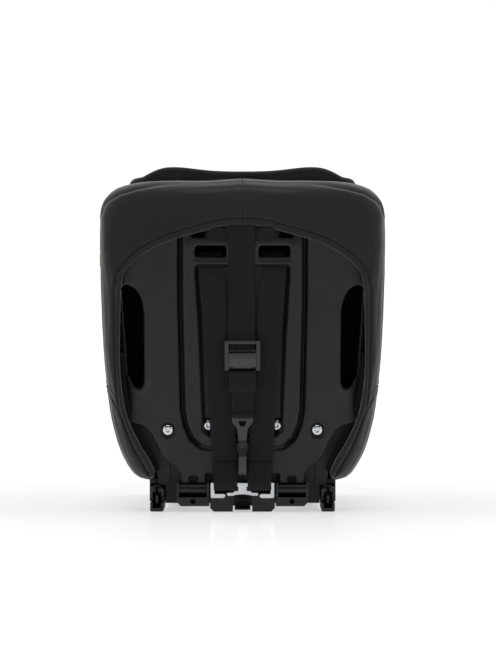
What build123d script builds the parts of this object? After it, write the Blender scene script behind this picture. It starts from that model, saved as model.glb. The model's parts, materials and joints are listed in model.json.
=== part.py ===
from build123d import *
import os
from math import sin, cos, radians

# Convertible child car seat. Millimetres, +Z up, the child faces -Y, the occupant's left is +X.
# Everything is drawn with y = 0 on the recline hinge and moved back by HINGE_Y when it is written.
# Backrest pieces are drawn upright (y to the rear of the hinge) and then leaned back by LEAN.

LEAN = 8.0            # degrees the backrest leans at rest
HINGE_Y = 160.0       # hinge axis from the middle of the seat's depth
HINGE_Z = 36.5
ROD_R = 9.0
FIT = 0.06            # running clearance on the radius

ISOFIX_X = 140.0      # the standard anchor spacing is 280
ARM_W = 22.0
BELT_W = 40.0         # harness webbing
WEB_T = 1.6

SHELL_BOTTOM = 49.0
SHELL_T = 4.0
COVER_T = 6.0
WING_T = 28.0         # shell, foam and pad together
SEAT_FRONT = -388.0
BASE_REAR = -22.0

# Half outline of the covered backrest seen from behind, (x, z), lobe to top
OUTLINE = [
    (163, 47), (184, 64), (202, 98), (215, 143), (221, 183), (228, 262),
    (231, 346), (232.5, 460), (230.5, 497), (219, 519), (184, 535), (110, 541), (0, 544),
]
# Rounding from the rear face forwards, (y, inset)
STATIONS = [(12, 34), (7, 17), (-6, 6), (-34, 0), (-120, 0), (-170, 3)]
# Side view of the wings, (y, z)
WING_SIDE = [
    (-62, 40), (-62, 150), (-112, 196), (-160, 246), (-168, 300), (-168, 420),
    (-152, 474), (-112, 512), (-58, 533), (-58, 620), (60, 620), (60, 0), (-62, 0),
]

PARTS = {}


# ---------------------------------------------------------------- helpers
def span(a, b):
    return (min(a, b), max(a, b))


def block(x, y, z, r=0.0, only=None):
    """A box from three (low, high) spans, with its edges rounded."""
    centre = Pos((x[0] + x[1]) / 2, (y[0] + y[1]) / 2, (z[0] + z[1]) / 2)
    solid = centre * Box(x[1] - x[0], y[1] - y[0], z[1] - z[0])
    if r:
        edges = solid.edges() if only is None else solid.edges().filter_by(only)
        solid = fillet(edges, r)
    return solid


def both(solid):
    """The solid and its mirror image in the middle plane."""
    return solid + mirror(solid, Plane.YZ)


def left_right(name, solid, lean=False):
    put(name + "_l", solid, lean)
    put(name + "_r", mirror(solid, Plane.YZ), lean)


def pair(name, solid, lean=False):
    """Left and right copies of one piece, kept together as one node."""
    solids = [*solid.solids(), *mirror(solid, Plane.YZ).solids()]
    put(name, Compound(children=solids), lean)


def rod(axis, centre, r, length):
    turn = {"x": Rot(0, 90, 0), "y": Rot(90, 0, 0), "z": Rot(0, 0, 0)}[axis]
    return Pos(*centre) * turn * Cylinder(r, length)


def prism(points, plane, low, high, r=0.0):
    """A polygon with rounded corners: "xz" runs along y, "yz" along x, "xy" along z."""
    frames = {
        "xz": (Plane(origin=(0, high, 0), x_dir=(1, 0, 0), z_dir=(0, -1, 0)), high - low),
        "yz": (Plane(origin=(low, 0, 0), x_dir=(0, 1, 0), z_dir=(1, 0, 0)), high - low),
        "xy": (Plane(origin=(0, 0, low), x_dir=(1, 0, 0), z_dir=(0, 0, 1)), high - low),
    }
    frame, length = frames[plane]
    face = make_face(Polyline(*points, close=True))
    if r:
        face = fillet(face.vertices(), r)
    return extrude(frame * face, length)


def sym(points):
    """A half outline from the middle line outwards, closed by its mirror image."""
    return [*points, *[(-x, z) for x, z in reversed(points) if x > 0]]


def ribbon(points, width, t=WEB_T, across=(1, 0, 0)):
    """Flat webbing along points, as wide as width along the direction across."""
    pts = [Vector(*p) for p in points]
    faces = []
    for i, p in enumerate(pts):
        a = pts[max(i - 1, 0)]
        b = pts[min(i + 1, len(pts) - 1)]
        plane = Plane(origin=p, x_dir=Vector(*across), z_dir=(b - a).normalized())
        faces.append(plane * Rectangle(width, t))
    return loft(faces, ruled=True)


def band(points, width, t=WEB_T):
    """Flat webbing that stays on the middle line: a thickened line of (y, z), extruded across."""
    upper, lower = [], []
    for i, (y, z) in enumerate(points):
        y0, z0 = points[max(i - 1, 0)]
        y1, z1 = points[min(i + 1, len(points) - 1)]
        size = ((y1 - y0) ** 2 + (z1 - z0) ** 2) ** 0.5
        ny, nz = -(z1 - z0) / size * t / 2, (y1 - y0) / size * t / 2
        upper.append((y + ny, z + nz))
        lower.append((y - ny, z - nz))
    return prism([*upper, *reversed(lower)], "yz", -width / 2, width / 2)


def lean_back(solid):
    return Pos(0, 0, HINGE_Z) * Rot(-LEAN, 0, 0) * Pos(0, 0, -HINGE_Z) * solid


def leaned(x, y, z):
    """Where a point of the upright backrest is once it leans."""
    c, s = cos(radians(LEAN)), sin(radians(LEAN))
    return (x, y * c + (z - HINGE_Z) * s, HINGE_Z + (z - HINGE_Z) * c - y * s)


def put(name, solid, lean=False):
    if lean:
        solid = lean_back(solid)
    PARTS[name] = Pos(0, HINGE_Y, 0) * solid


# ---------------------------------------------------------------- the backrest's body shape
def inset_outline(d, bottom):
    """The half outline moved inwards by d, as a closed face in x and z."""
    half = []
    n = len(OUTLINE)
    for i, (x, z) in enumerate(OUTLINE):
        x0, z0 = OUTLINE[max(i - 1, 0)]
        x1, z1 = OUTLINE[i + 1] if i + 1 < n else (-OUTLINE[i - 1][0], OUTLINE[i - 1][1])
        tx, tz = x1 - x0, z1 - z0
        size = (tx * tx + tz * tz) ** 0.5
        half.append((x - d * tz / size, z + d * tx / size))
    foot = (half[0][0] - 1.5, bottom)
    pts = [foot, *half[1:]]
    full = [*pts, *[(-x, z) for x, z in reversed(pts[:-1])]]
    return make_face([Spline(*full), Line(full[-1], full[0])])


def body_form(t, bottom):
    """The backrest's whole form, everything t inside the outer skin."""
    sections = []
    for i, (y, inset) in enumerate(STATIONS):
        y_in = y - t * (1.0 if i == 0 else 0.7 if i == 1 else 0.4 if i == 2 else 0.0)
        d = inset + (0.3 * t if i == 0 else t)
        plane = Plane(origin=(0, y_in, 0), x_dir=(1, 0, 0), z_dir=(0, -1, 0))
        sections.append(plane * inset_outline(d, bottom))
    return loft(sections, ruled=True)


def wing_side(t):
    """The side view of the wings, t inside its front edge."""
    pts = [(y + t if y < 0 else y, z) for y, z in WING_SIDE]
    return prism(pts, "yz", -260, 260)


FORM_0 = body_form(0, 47)
FORM_COVER_IN = body_form(COVER_T, 10)
FORM_SHELL = body_form(COVER_T + 1.0, SHELL_BOTTOM)
FORM_SHELL_IN = body_form(COVER_T + 1.0 + SHELL_T, 10)
FORM_FOAM = body_form(COVER_T + 2.2 + SHELL_T, 56)
FORM_FOAM_IN = body_form(WING_T - 7.4, 10)
FORM_PAD = body_form(WING_T - 6, 60)
FORM_CAVITY = body_form(WING_T, 10)
# the headrest stands in front of the top edge, between the wings
HEAD_ROOM = block((-180, 180), (-300, -58), (380, 700)) + block((-14, 14), (-60, -56.8), (380, 700))

# The arch the cover leaves open at the back, (x, z)
ARCH = sym([
    (0, 472), (37, 469), (69, 460), (100, 451), (131, 441), (158, 426), (178, 410), (191, 394),
    (197, 372), (200, 346), (201, 245), (195, 185), (187, 149), (170, 116), (150, 83), (141, 65),
    (144, 30),
])
# The lower edge of the moulded panel, and the gap outside it that shows the base
CONTOUR_GAP = [
    (183, 153), (163, 146), (150, 132), (140, 112), (133, 95), (123, 84), (108, 73), (101, 60),
    (100, 20), (146, 20), (143, 60), (152, 83), (172, 116), (188, 149),
]
BELT_OPENING = [(158, 199), (158, 366), (166, 373), (182, 360), (196, 338), (193, 300), (186, 215), (178, 199)]
SLOTS_LOW = [(26, 416), (77, 416), (77, 435), (26, 435)]
SLOTS_HIGH = [(28, 452), (83, 452), (83, 471), (28, 471)]


def slot_cut(points, low, high, r):
    return both(prism(points, "xz", low, high, r))


# ---------------------------------------------------------------- backrest: shell
def make_back_shell():
    shell = FORM_SHELL - FORM_SHELL_IN
    shell = (shell & wing_side(COVER_T + 1)) - HEAD_ROOM
    # raised U-shaped frame that the harness runs inside
    frame_out = [(97, 468), (95, 250), (93, 165), (84, 130), (66, 108), (30, 104)]
    frame_in = [(72, 480), (72, 405), (66, 200), (64, 138), (50, 126), (20, 124)]
    ring = prism(sym([(0, 468), *frame_out, (0, 104)]), "xz", 4.5, 12.5, 5)
    ring -= prism(sym([(0, 480), *frame_in, (0, 124)]), "xz", 0, 20, 5)
    ring = ring & prism(sym([(0, 464), (100, 445), (120, 300), (120, 90), (0, 90)]), "xz", 0, 20)
    shell += ring
    # stiffening ribs inside the rear wall
    for x in (-118, -60, 0, 60, 118):
        shell += block((x - 1.5, x + 1.5), (-8, 3), (175, 400))
    # ears that hook over the hinge rods
    for side in (1, -1):
        low, high = span(side * 67, side * 93)
        ear = rod("x", (side * 80, 0, HINGE_Z), 16.5, 26)
        ear += block((low, high), (-16.5, 4), (HINGE_Z, 74))
        shell += ear
    for side in (1, -1):
        shell -= rod("x", (side * 80, 0, HINGE_Z), ROD_R + FIT, 40)
        shell -= block(span(side * 60, side * 100), (0, 30), (10, 46.5))
    # openings
    shell -= both(prism(CONTOUR_GAP, "xz", -30, 30))
    shell -= slot_cut(BELT_OPENING, -40, 30, 7)
    shell -= slot_cut(SLOTS_LOW, -40, 30, 6)
    shell -= slot_cut(SLOTS_HIGH, -40, 30, 6)
    shell -= both(block((74, 87), (-17, 30), (40, 58), 2, Axis.Y))
    shell -= both(block((48, 60), (-17, 30), (40, 63), 2, Axis.Y))
    # belt tunnel walls
    tunnel = slot_cut(BELT_OPENING, -26, -8, 7)
    wide = [(155, 196), (155, 368), (165, 376.5), (184, 363), (199, 340), (196, 298), (189, 213), (181, 196)]
    shell += slot_cut(wide, -25, 1, 8) & FORM_SHELL
    shell -= slot_cut(BELT_OPENING, -40, 30, 7)
    # screw recesses and pilot holes
    for x, z in SCREWS:
        for side in (1, -1):
            shell += rod("y", (side * x, -3, z), 9, 12) & FORM_SHELL
            shell -= rod("y", (side * x, 12, z), 12.5, 18)
            shell -= rod("y", (side * x, 0, z), 3.05, 30)
    return shell


SCREWS = [(122, 136), (55.5, 143)]


def make_screws():
    """Pan-head screws with a cross recess, all one fastener."""
    out = []
    for x, z in SCREWS:
        for side in (1, -1):
            head = rod("y", (side * x, 4.9, z), 9.2, 3.4)
            head = fillet(head.edges().group_by(Axis.Y)[-1], 2.4)
            shank = rod("y", (side * x, -2.8, z), 2.95, 12)
            screw = head + shank
            screw -= block((side * x - 5, side * x + 5), (5.2, 8), (z - 1, z + 1))
            screw -= block((side * x - 1, side * x + 1), (5.2, 8), (z - 5, z + 5))
            out.append(screw)
    return Compound(children=out)


def make_cover():
    cover = FORM_0 - FORM_COVER_IN.intersect(wing_side(COVER_T))
    cover = cover & wing_side(0)
    cover -= FORM_CAVITY & block((-300, 300), (-300, -30), (-50, 700))
    cover -= prism(ARCH, "xz", 0, 40)
    cover -= HEAD_ROOM
    cover -= block((-142, 142), (-100, 40), (0, 60))
    return cover


def make_foams():
    wing = (FORM_FOAM - FORM_FOAM_IN) & wing_side(COVER_T + 1.5)
    wing = (wing & block((-300, 300), (-300, -50.3), (60, 700))) - HEAD_ROOM
    back = FORM_FOAM & block((-300, 300), (-50, -18), (158, 500))
    back -= slot_cut(SLOTS_LOW, -90, 30, 0)
    back -= slot_cut(SLOTS_HIGH, -90, 30, 0)
    back -= slot_cut([(154, 195), (154, 378), (201, 378), (201, 195)], -26, 30, 0)
    back -= both(block((19, 85), (-60, 0), (406, 440)))
    return wing, back


def make_pads():
    wing = (FORM_PAD - FORM_CAVITY) & wing_side(COVER_T + 1.5)
    wing = (wing & block((-300, 300), (-300, -50.3), (60, 700))) - HEAD_ROOM
    pad = FORM_CAVITY & block((-300, 300), (-64, -50.3), (162, 505))
    pad -= block((-23, 23), (-80, 0), (236, 600))
    pad -= slot_cut(SLOTS_LOW, -90, 30, 0)
    pad -= slot_cut(SLOTS_HIGH, -90, 30, 0)
    return wing, pad


# ---------------------------------------------------------------- harness and tether at the back
def rear_strap():
    """Left strap from the lower slot down the back to just above the yoke."""
    path = [(51.5, 3, 421), (51.3, 8, 419.5), (51, 14, 415), (50.5, 15.8, 405), (39, 15.8, 240),
            (28.5, 15.8, 86), (28, 15.8, 64)]
    return ribbon(path, BELT_W)


def front_strap():
    """Left shoulder strap from the slot, down the back pad and out to the buckle tongue."""
    path = [leaned(51.5, 2, 422.5), leaned(51.5, -60, 424), leaned(51.3, -65.4, 421), leaned(50.6, -66.2, 394)]
    path += [leaned(49, -73, 378)]
    path += [leaned(40, -84, 260), (32, -136, 236), (24, -205, 246), (23.5, -222, 250)]
    return ribbon(path, BELT_W - 2)


def make_tether():
    put("cross_webbing", block((-60, 60), (7.0, 8.6), (443, 460))
        + both(block((57, 60), (-4, 8.6), (453, 460))), lean=True)
    strap = band([(9.8, 468), (9.9, 420), (17.6, 300), (21.6, 288)], 43)
    put("tether_strap", strap, lean=True)
    frame = block((-29, 29), (17.4, 29), (237, 286), 2)
    frame -= block((-22.6, 22.6), (10, 40), (262, 281))
    frame -= block((-22.6, 22.6), (19.4, 40), (236, 262.5))
    frame += rod("x", (0, 24, 269), 3.2, 46)
    put("tether_adjuster", frame, lean=True)
    lever = prism([(27.8, 262), (30.4, 268), (36, 266.5), (36.4, 258), (33, 245), (29, 240.5), (25.6, 242),
                   (25.6, 258)], "yz", -22, 22, 1)
    lever -= block((-15, 15), (30, 40), (240, 244.6))
    put("tether_lever", lever, lean=True)
    pack = block((-22, 22), (18.2, 31.4), (204.5, 236.5), 5, Axis.X)
    for y in (21, 23.8, 26.6):
        pack -= block((-30, 30), (y - 0.2, y + 0.2), (200, 226))
    put("tether_bundle", pack, lean=True)
    put("tether_short_strap", band([(22.5, 204), (22.2, 186), (22.2, 168.6)], 35, 2.2), lean=True)
    eye = prism([(-17, 164), (-15, 168), (15, 168), (17, 164), (17, 152), (8, 140), (6.2, 118), (-6.2, 118),
                 (-8, 140), (-17, 152)], "xz", 20.6, 23.8, 1.5)
    eye -= block((-12.5, 12.5), (10, 40), (158, 163.4))
    eye -= prism([(-7, 154), (7, 154), (4, 145), (-4, 145)], "xz", 10, 40, 1)
    hook_side = [(20.6, 122), (23.8, 122), (31.6, 111), (35.8, 97), (35.8, 77), (33, 69), (28, 65.4),
                 (23, 67), (20.6, 72), (20.6, 86), (23.4, 88), (23.6, 75), (27.8, 69), (32, 78),
                 (32, 95), (28.6, 107), (20.6, 116)]
    put("tether_hook", eye + prism(hook_side, "yz", -6.2, 6.2), lean=True)
    gate = prism([(26.3, 107.5), (24.4, 106), (21.6, 91), (22.6, 88.6), (24, 89)], "yz", -4.5, 4.5)
    put("tether_hook_gate", gate, lean=True)
    keeper = both(block((6.4, 9.2), (12.8, 25), (103, 117)))
    keeper += block((-9.2, 9.2), (12.8, 15), (103, 117))
    put("tether_keeper", keeper, lean=True)


def make_yoke():
    """Steel yoke hung on the two rear straps: bar, stem, anchor arms and two outer hooks."""
    plate = block((-52, 52), (17.2, 20.2), (44, 51))
    plate += block((-7.5, 7.5), (17.2, 20.2), (30, 48))
    plate += prism([(-25.5, 35), (-25.5, 27), (-21, 26), (21, 26), (25.5, 27), (25.5, 35), (20, 33), (8, 37),
                    (-8, 37), (-20, 33)], "xz", 17.2, 20.2)
    hook = block((47, 52), (17.2, 20.2), (26, 48)) + block((28, 52), (17.2, 20.2), (26, 32))
    plate += both(hook)
    plate -= block((-14, 14), (10, 30), (28, 30.5))
    put("yoke", plate, lean=True)
    loop = block((9.5, 46), (14.0, 23.4), (38.5, 60), 3, Axis.X)
    loop -= block((0, 60), (16.8, 20.6), (43.5, 51.5))
    pair("yoke_loops", loop, lean=True)


# ---------------------------------------------------------------- headrest
def make_headrest():
    back = prism(sym([(0, 546), (48, 548), (110, 551), (150, 547), (170, 532), (174, 496), (170, 410), (120, 396),
                      (0, 396)]), "xz", -73, -68, 8)
    side = prism([(-68, 404), (-68, 538), (-84, 535), (-126, 496), (-134, 456), (-126, 414)], "yz", 169, 173, 6)
    shell = back + both(side)
    shell += block((-12, 12), (-68.5, -64), (404, 470), 2, Axis.Y)
    shell -= block((-34, 34), (-90, -60), (512, 532), 4, Axis.Y)
    put("headrest_shell", shell, lean=True)
    pad = prism(sym([(0, 550), (48, 553), (110, 557), (152, 551), (168, 535), (168, 410), (120, 400), (0, 400)]),
                "xz", -86, -73.4, 10)
    cheek = prism([(-86, 408), (-86, 535), (-124, 494), (-131, 456), (-123, 416)], "yz", 143, 168.6, 4)
    pad += both(cheek)
    pad -= block((-34.5, 34.5), (-79, -60), (511, 533))
    put("headrest_pad", pad, lean=True)
    carrier = block((-13, 13), (-63.6, -57.6), (262, 470), 2, Axis.Y)
    for z in range(290, 400, 28):
        carrier -= block((-5, 5), (-70, -50), (z, z + 8), 2, Axis.Y)
    put("headrest_carrier", carrier, lean=True)
    rail = block((13.15, 22.6), (-63.2, -50.4), (252, 500))
    rail += block((6, 14), (-56.9, -50.4), (252, 500))
    pair("headrest_rails", rail, lean=True)
    lever = block((-32, 32), (-78.6, -68.4), (513.5, 524), 2, Axis.X)
    lever += block((-5, 5), (-78.4, -73.6), (511.4, 516))
    put("headrest_lever", lever, lean=True)


# ---------------------------------------------------------------- base
ARM_SIDE = [(BASE_REAR, 0), (BASE_REAR, 146), (-64, 147), (-92, 186), (-130, 208), (-300, 212), (-344, 200),
            (-372, 170), (SEAT_FRONT, 128), (-386, 70), (-368, 34), (-340, 12), (-340, 0)]
SECTION = [(0, 12), (155, 12), (155, 46), (160, 90), (170, 130), (177, 160), (180, 200), (176, 210), (164, 214),
           (152, 210), (147, 200), (147, 118), (0, 118)]
SECTION_IN = [(0, -5), (123, -5), (123, 46), (150, 50), (156, 90), (166, 131), (173, 161), (176, 198), (173, 206),
              (164, 210), (154, 206), (151, 198), (151, 114), (0, 114)]
REAR_SECTION = [(0, 0), (138, 0), (138, 52), (145, 70), (157, 100), (171, 132), (176, 141), (172, 146), (0, 146)]

# closed rear faces of the two arms, seen between the back panel and the cover's lobes
ARM_FACE = [(120, 47), (138.5, 47), (141, 62), (151.5, 83), (162, 100), (169.5, 116), (176, 130), (181.5, 142),
            (180, 148), (176, 151), (120, 151)]


def make_base():
    shell = prism(sym(SECTION), "xz", -400, -10) & prism(ARM_SIDE, "yz", -200, 200, 0)
    inner_side = [(y + 4 if y < -200 else y - 4, z - 4 if z > 100 else z) for y, z in ARM_SIDE]
    inner = prism(sym(SECTION_IN), "xz", -400, -10) & prism(inner_side, "yz", -200, 200, 0)
    shell -= inner
    rear_keep = prism(sym(REAR_SECTION), "xz", -69, -10)
    shell -= block((-200, 200), (-69, 0), (-5, 300)) - rear_keep
    rear_wall = rear_keep & block((-200, 200), (-69, -65), (12, 146))
    side_wall = (rear_keep & block((-200, 200), (-69, BASE_REAR), (12, 146))) - inner
    inset_rear = prism(sym([(x - 4 if x > 100 else x, z - 4 if z > 100 else z) for x, z in REAR_SECTION]),
                       "xz", -64.9, -26)
    shell += (rear_keep & block((-200, 200), (-69, BASE_REAR), (12, 118))) - inset_rear
    shell += both(((rear_keep & block((142, 200), (-69, BASE_REAR), (112, 146))) - inset_rear))
    shell += both(prism(ARM_FACE, "xz", -20.5, -16.5))
    shell += both(prism([(120, 47), (138, 52), (143, 70), (155, 100), (169, 132), (174, 141), (120, 141)],
                        "xz", -26, -20.5))
    # channels for the sliding lower connectors, and room for their cross bar
    shell -= both(block((127, 152.4), (-385, 0), (-5, 42)))
    shell -= block((-140, 140), (-342, -190), (-5, 36))
    shell -= block((-53.4, 53.4), (-64.9, 0), (-5, 26.5))
    # slots for the crotch strap, the adjuster strap and the two lap straps
    shell -= block((-22, 22), (-240, -228), (100, 130), 3, Axis.Z)
    shell -= block((-15, 15), (-356, -340), (100, 130), 3, Axis.Z)
    shell -= block((-15, 15), (-362, -345), (-5, 60))
    # front fascia: adjuster pocket and release handle pocket
    shell -= block((-26, 26), (-400, -366), (66, 104))
    shell -= block((-44, 44), (-400, -366), (40, 60))
    # floor ribs
    for y in (-120, -180, -300):
        shell += block((-122.5, 122.5), (y - 1.5, y + 1.5), (90, 115))
    put("base_shell", shell)

    tray = block((-122.4, 122.4), (-335.5, -69.5), (12, 15))
    tray -= block((-54, 54), (-80, -60), (5, 20))
    for y in (-80, -326):
        for x in (-106, 106):
            tray -= rod("z", (x, y, 13.5), 2.7, 30)
    put("belly_tray", tray)
    posts = []
    for y in (-80, -326):
        for x in (-106, 106):
            head = rod("z", (x, y, 10.6), 5, 2.6)
            head -= block((x - 3, x + 3), (y - 0.7, y + 0.7), (9, 10.4))
            posts.append(head + rod("z", (x, y, 14), 2.5, 7))
    put("tray_screws", Compound(children=posts))

    foot = block((-53, 53), (-64, 9.5), (0.0, 26))
    foot = chamfer(foot.edges().filter_by(Axis.Y).group_by(Axis.Z)[0], 6)
    foot -= block((-16, 16), (-70, 20), (-1, 9.5))
    foot -= block((-14, 14), (4.5, 20), (0, 30))
    foot -= both(block((20, 48), (-60, -4), (-1, 20)))
    put("rear_foot_block", foot)
    grips = both(block((92, 122), (-330, -270), (0, 8.9), 3, Axis.Z))
    grips += both(block((98, 116), (-320, -280), (8, 11.8)))
    put("front_grip_pads", Compound(children=grips.solids()))

    bracket = prism([(54.5, 9), (101, 9), (108, 16), (108, 25), (54.5, 25)], "xz", BASE_REAR + 0.2, 11)
    bracket += block((54.5, 58.5), (-12, 12), (25, 48), 3, Axis.X)
    bracket += block((104, 108), (-12, 12), (25, 48), 3, Axis.X)
    bracket -= rod("x", (81, 0, HINGE_Z), ROD_R + FIT, 70)
    bracket -= rod("x", (81, 0, HINGE_Z), 17.2, 45)
    bracket -= rod("y", (81, 5, 17), 4.6, 30)
    bracket += block((64, 72), (11, 12), (14, 17)) + block((90, 98), (11, 12), (14, 17))
    pair("hinge_brackets", bracket)
    hinge_rod = rod("x", (81, 0, HINGE_Z), ROD_R, 54.4)
    hinge_rod = chamfer(hinge_rod.edges(), 0.8)
    pair("hinge_rods", hinge_rod)


def make_seat():
    side = [(-30, 118.6), (-30, 140), (-90, 143), (-200, 136), (-330, 146), (-378, 142), (-395, 126), (-398, 96),
            (-396, 84), (-389.5, 84), (-389, 118.6)]
    cushion = prism(side, "yz", -141.4, 141.4, 2)
    cushion -= both(block((111, 150), (-99, -69), (100, 180)))
    cushion -= block((-29, 29), (-400, -389), (80, 107))
    cushion -= block((-22, 22), (-242, -226), (100, 180), 4, Axis.Z)
    put("seat_cushion", cushion)
    outer = [(143, 150), (143, 202), (149, 214), (164, 218), (178, 214), (184, 201), (182, 165), (180, 150)]
    cover = prism(outer, "xz", -392, -72)
    top = [(-72, 140), (-74, 168), (-93, 190.5), (-130, 212), (-300, 216), (-346, 204), (-375, 172), (-391, 140)]
    cover = cover & prism(top, "yz", 100, 200)
    core_side = [(y, z + 0.4) for y, z in ARM_SIDE if z > 100]
    core_side = [(0, 100), *core_side, (SEAT_FRONT - 1, 100)]
    core = [(146.7, 100), (146.7, 200), (151.8, 210.4), (164, 214.4), (176.2, 210.3), (180.3, 200), (177.4, 160),
            (170.3, 130), (166, 100)]
    cover -= prism(core, "xz", -400, 0) & prism(core_side, "yz", 100, 200)
    pair("armrest_covers", cover)


def make_buckle():
    put("crotch_strap", band([(-234, 98), (-234, 160), (-231, 166)], 38, 2))
    put("crotch_pad", block((-30, 30), (-240.6, -235.6), (145, 168), 2))
    body = block((-27, 27), (-243, -221), (170, 226), 4)
    body -= block((-16, 16), (-250, -233.2), (177, 205), 3, Axis.Y)
    body -= block((-23, 23), (-234, -230), (205, 240))
    put("buckle_body", body)
    put("buckle_button", block((-15.9, 15.9), (-244.4, -236.6), (177.1, 204.9), 2.9, Axis.Y))
    tongue = prism([(0.4, 208), (20, 208), (22, 226), (44, 236), (44, 258), (0.4, 258)], "xz", -233.4, -230.6, 0)
    tongue -= block((3, 41.5), (-240, -225), (242, 250), 2, Axis.Y)
    tongue -= block((5, 15), (-240, -225), (212, 219))
    pair("buckle_tongues", tongue)
    lap = ribbon([(134, -84, 144.5), (118, -98, 158), (84, -150, 186), (50, -205, 226), (44.6, -218, 238)], 30, WEB_T,
                 (0, -0.35, 0.94))
    pair("lap_straps", lap)
    anchor = block((126, 142), (-92, -76), (118.5, 121.5), 2, Axis.Z) + block((132.5, 135.5), (-92, -76), (118.5, 142))
    pair("hip_anchors", anchor)


def make_adjuster():
    rear = band([(17.2, 22.4), (13.8, 17.6), (8.6, 12.6), (7.4, 9.4)], 25)
    put("adjuster_strap_rear", rear)
    run = band([(7.2, 8.6), (5, 5.8), (0, 4.6), (-340, 4.6), (-352, 10), (-357, 40), (-364, 76), (-374, 85),
                (-386.4, 87), (-393, 85), (-396.2, 80), (-396.2, 66), (-395.8, 60.4)], 25)
    put("adjuster_strap", run)
    housing = block((-25.4, 25.4), (-391, -370), (66.5, 103.5), 3, Axis.Y)
    housing -= block((-15, 15), (-400, -360), (80, 92))
    housing -= block((-20, 20), (-392, -378.6), (92, 101.5))
    put("adjuster_housing", housing)
    put("adjuster_button", block((-19.6, 19.6), (-394.4, -381), (92.4, 101.1), 1.5))
    keeper = block((-17, 17), (-399, -388.4), (62, 65.5), 1)
    keeper -= block((-13.4, 13.4), (-397.4, -394), (50, 70))
    put("tail_keeper", keeper)


# ---------------------------------------------------------------- lower connectors
def make_isofix():
    arm = block((130, 150), (-332, -66), (8, 34), 2, Axis.Y)
    arm -= block((132.5, 147.5), (-340, -60), (10.5, 31.5))
    bar = rod("x", (0, -322, 24), 5.5, 262)
    put("isofix_frame", both(arm) + bar)
    half = ARM_W / 2
    x0, x1 = ISOFIX_X - half, ISOFIX_X + half
    case = block((x0, x1), (-80, 15), (0.6, 38), 2.4, Axis.Y)
    case -= block((x0 + 0.9, x1 - 0.9), (-90, -64), (7.8, 34.2))
    case -= block((x0 + 4, x1 - 4), (-63, 30), (6, 33))
    case -= prism([(20, 13.5), (20, 26.5), (0, 24.4), (-8, 24.4), (-8, 15.4), (0, 15.4)], "yz", x0 - 1, x1 + 1)
    case -= block((x0 + 5, x1 - 5), (-48, -24), (30, 50), 2, Axis.Z)
    case -= block((ISOFIX_X - 2.5, ISOFIX_X + 2.5), (-21, 20), (30, 50))
    case -= rod("x", (ISOFIX_X, -16, 28.6), 2.52, 30)
    pair("isofix_cases", case)
    pin = rod("x", (ISOFIX_X, -16, 28.6), 2.5, ARM_W - 1)
    pair("isofix_pins", pin)
    hook = prism([(-20.6, 31.6), (-12, 32.6), (3, 30.6), (11, 26.6), (8, 13.6), (3, 13.6), (3.4, 24.8), (-10, 25),
                  (-20.6, 24.4)], "yz", ISOFIX_X - 2, ISOFIX_X + 2, 0.8)
    hook -= rod("x", (ISOFIX_X, -16, 28.6), 2.56, 30)
    left_right("isofix_hook", hook)
    button = block((x0 + 5.3, x1 - 5.3), (-40, -30), (34.2, 40.4), 1.5, Axis.Z)
    button += block((x0 + 4.5, x1 - 4.5), (-42, -28), (28, 32.4))
    button += block((x0 + 5.3, x1 - 5.3), (-40, -30), (31, 36))
    left_right("isofix_button", button)
    handle = block((-42, 42), (-398, -388.6), (41, 59), 4, Axis.Y) - block((-32, 32), (-400, -380), (46, 54), 3, Axis.Y)
    handle += both(block((34, 40), (-390, -366.4), (46, 54)))
    put("isofix_handle", handle)


def build():
    put("back_shell", make_back_shell(), lean=True)
    put("back_screws", make_screws(), lean=True)
    put("backrest_cover", make_cover(), lean=True)
    wing, back = make_foams()
    put("wing_foam", wing, lean=True)
    put("back_foam", back, lean=True)
    wing, back = make_pads()
    put("wing_lining", wing, lean=True)
    put("back_pad", back, lean=True)
    pair("rear_straps", rear_strap(), lean=True)
    bar = rod("x", (51.5, -5, 412.2), 2.6, 60)
    pair("slot_bars", bar, lean=True)
    pair("front_straps", front_strap())
    pad = ribbon([leaned(48.5, -78.5, 378), leaned(40.5, -91, 268)], 60, 8)
    pair("shoulder_pads", pad)
    put("side_tag", block((232.6, 234.4), (-74, -50), (400, 421), 0.8, Axis.X), lean=True)
    make_tether()
    make_yoke()
    make_headrest()
    make_base()
    make_seat()
    make_buckle()
    make_adjuster()
    make_isofix()


if __name__ == "__main__":
    build()
    os.makedirs("parts", exist_ok=True)
    for name, solid in PARTS.items():
        export_step(solid, f"parts/{name}.step")
        box = solid.bounding_box()
        print(f"{name:20s} {len(solid.solids())} x[{box.min.X:.0f},{box.max.X:.0f}]"
              f" y[{box.min.Y:.0f},{box.max.Y:.0f}] z[{box.min.Z:.1f},{box.max.Z:.1f}] v={solid.volume/1000:.1f}")
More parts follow.
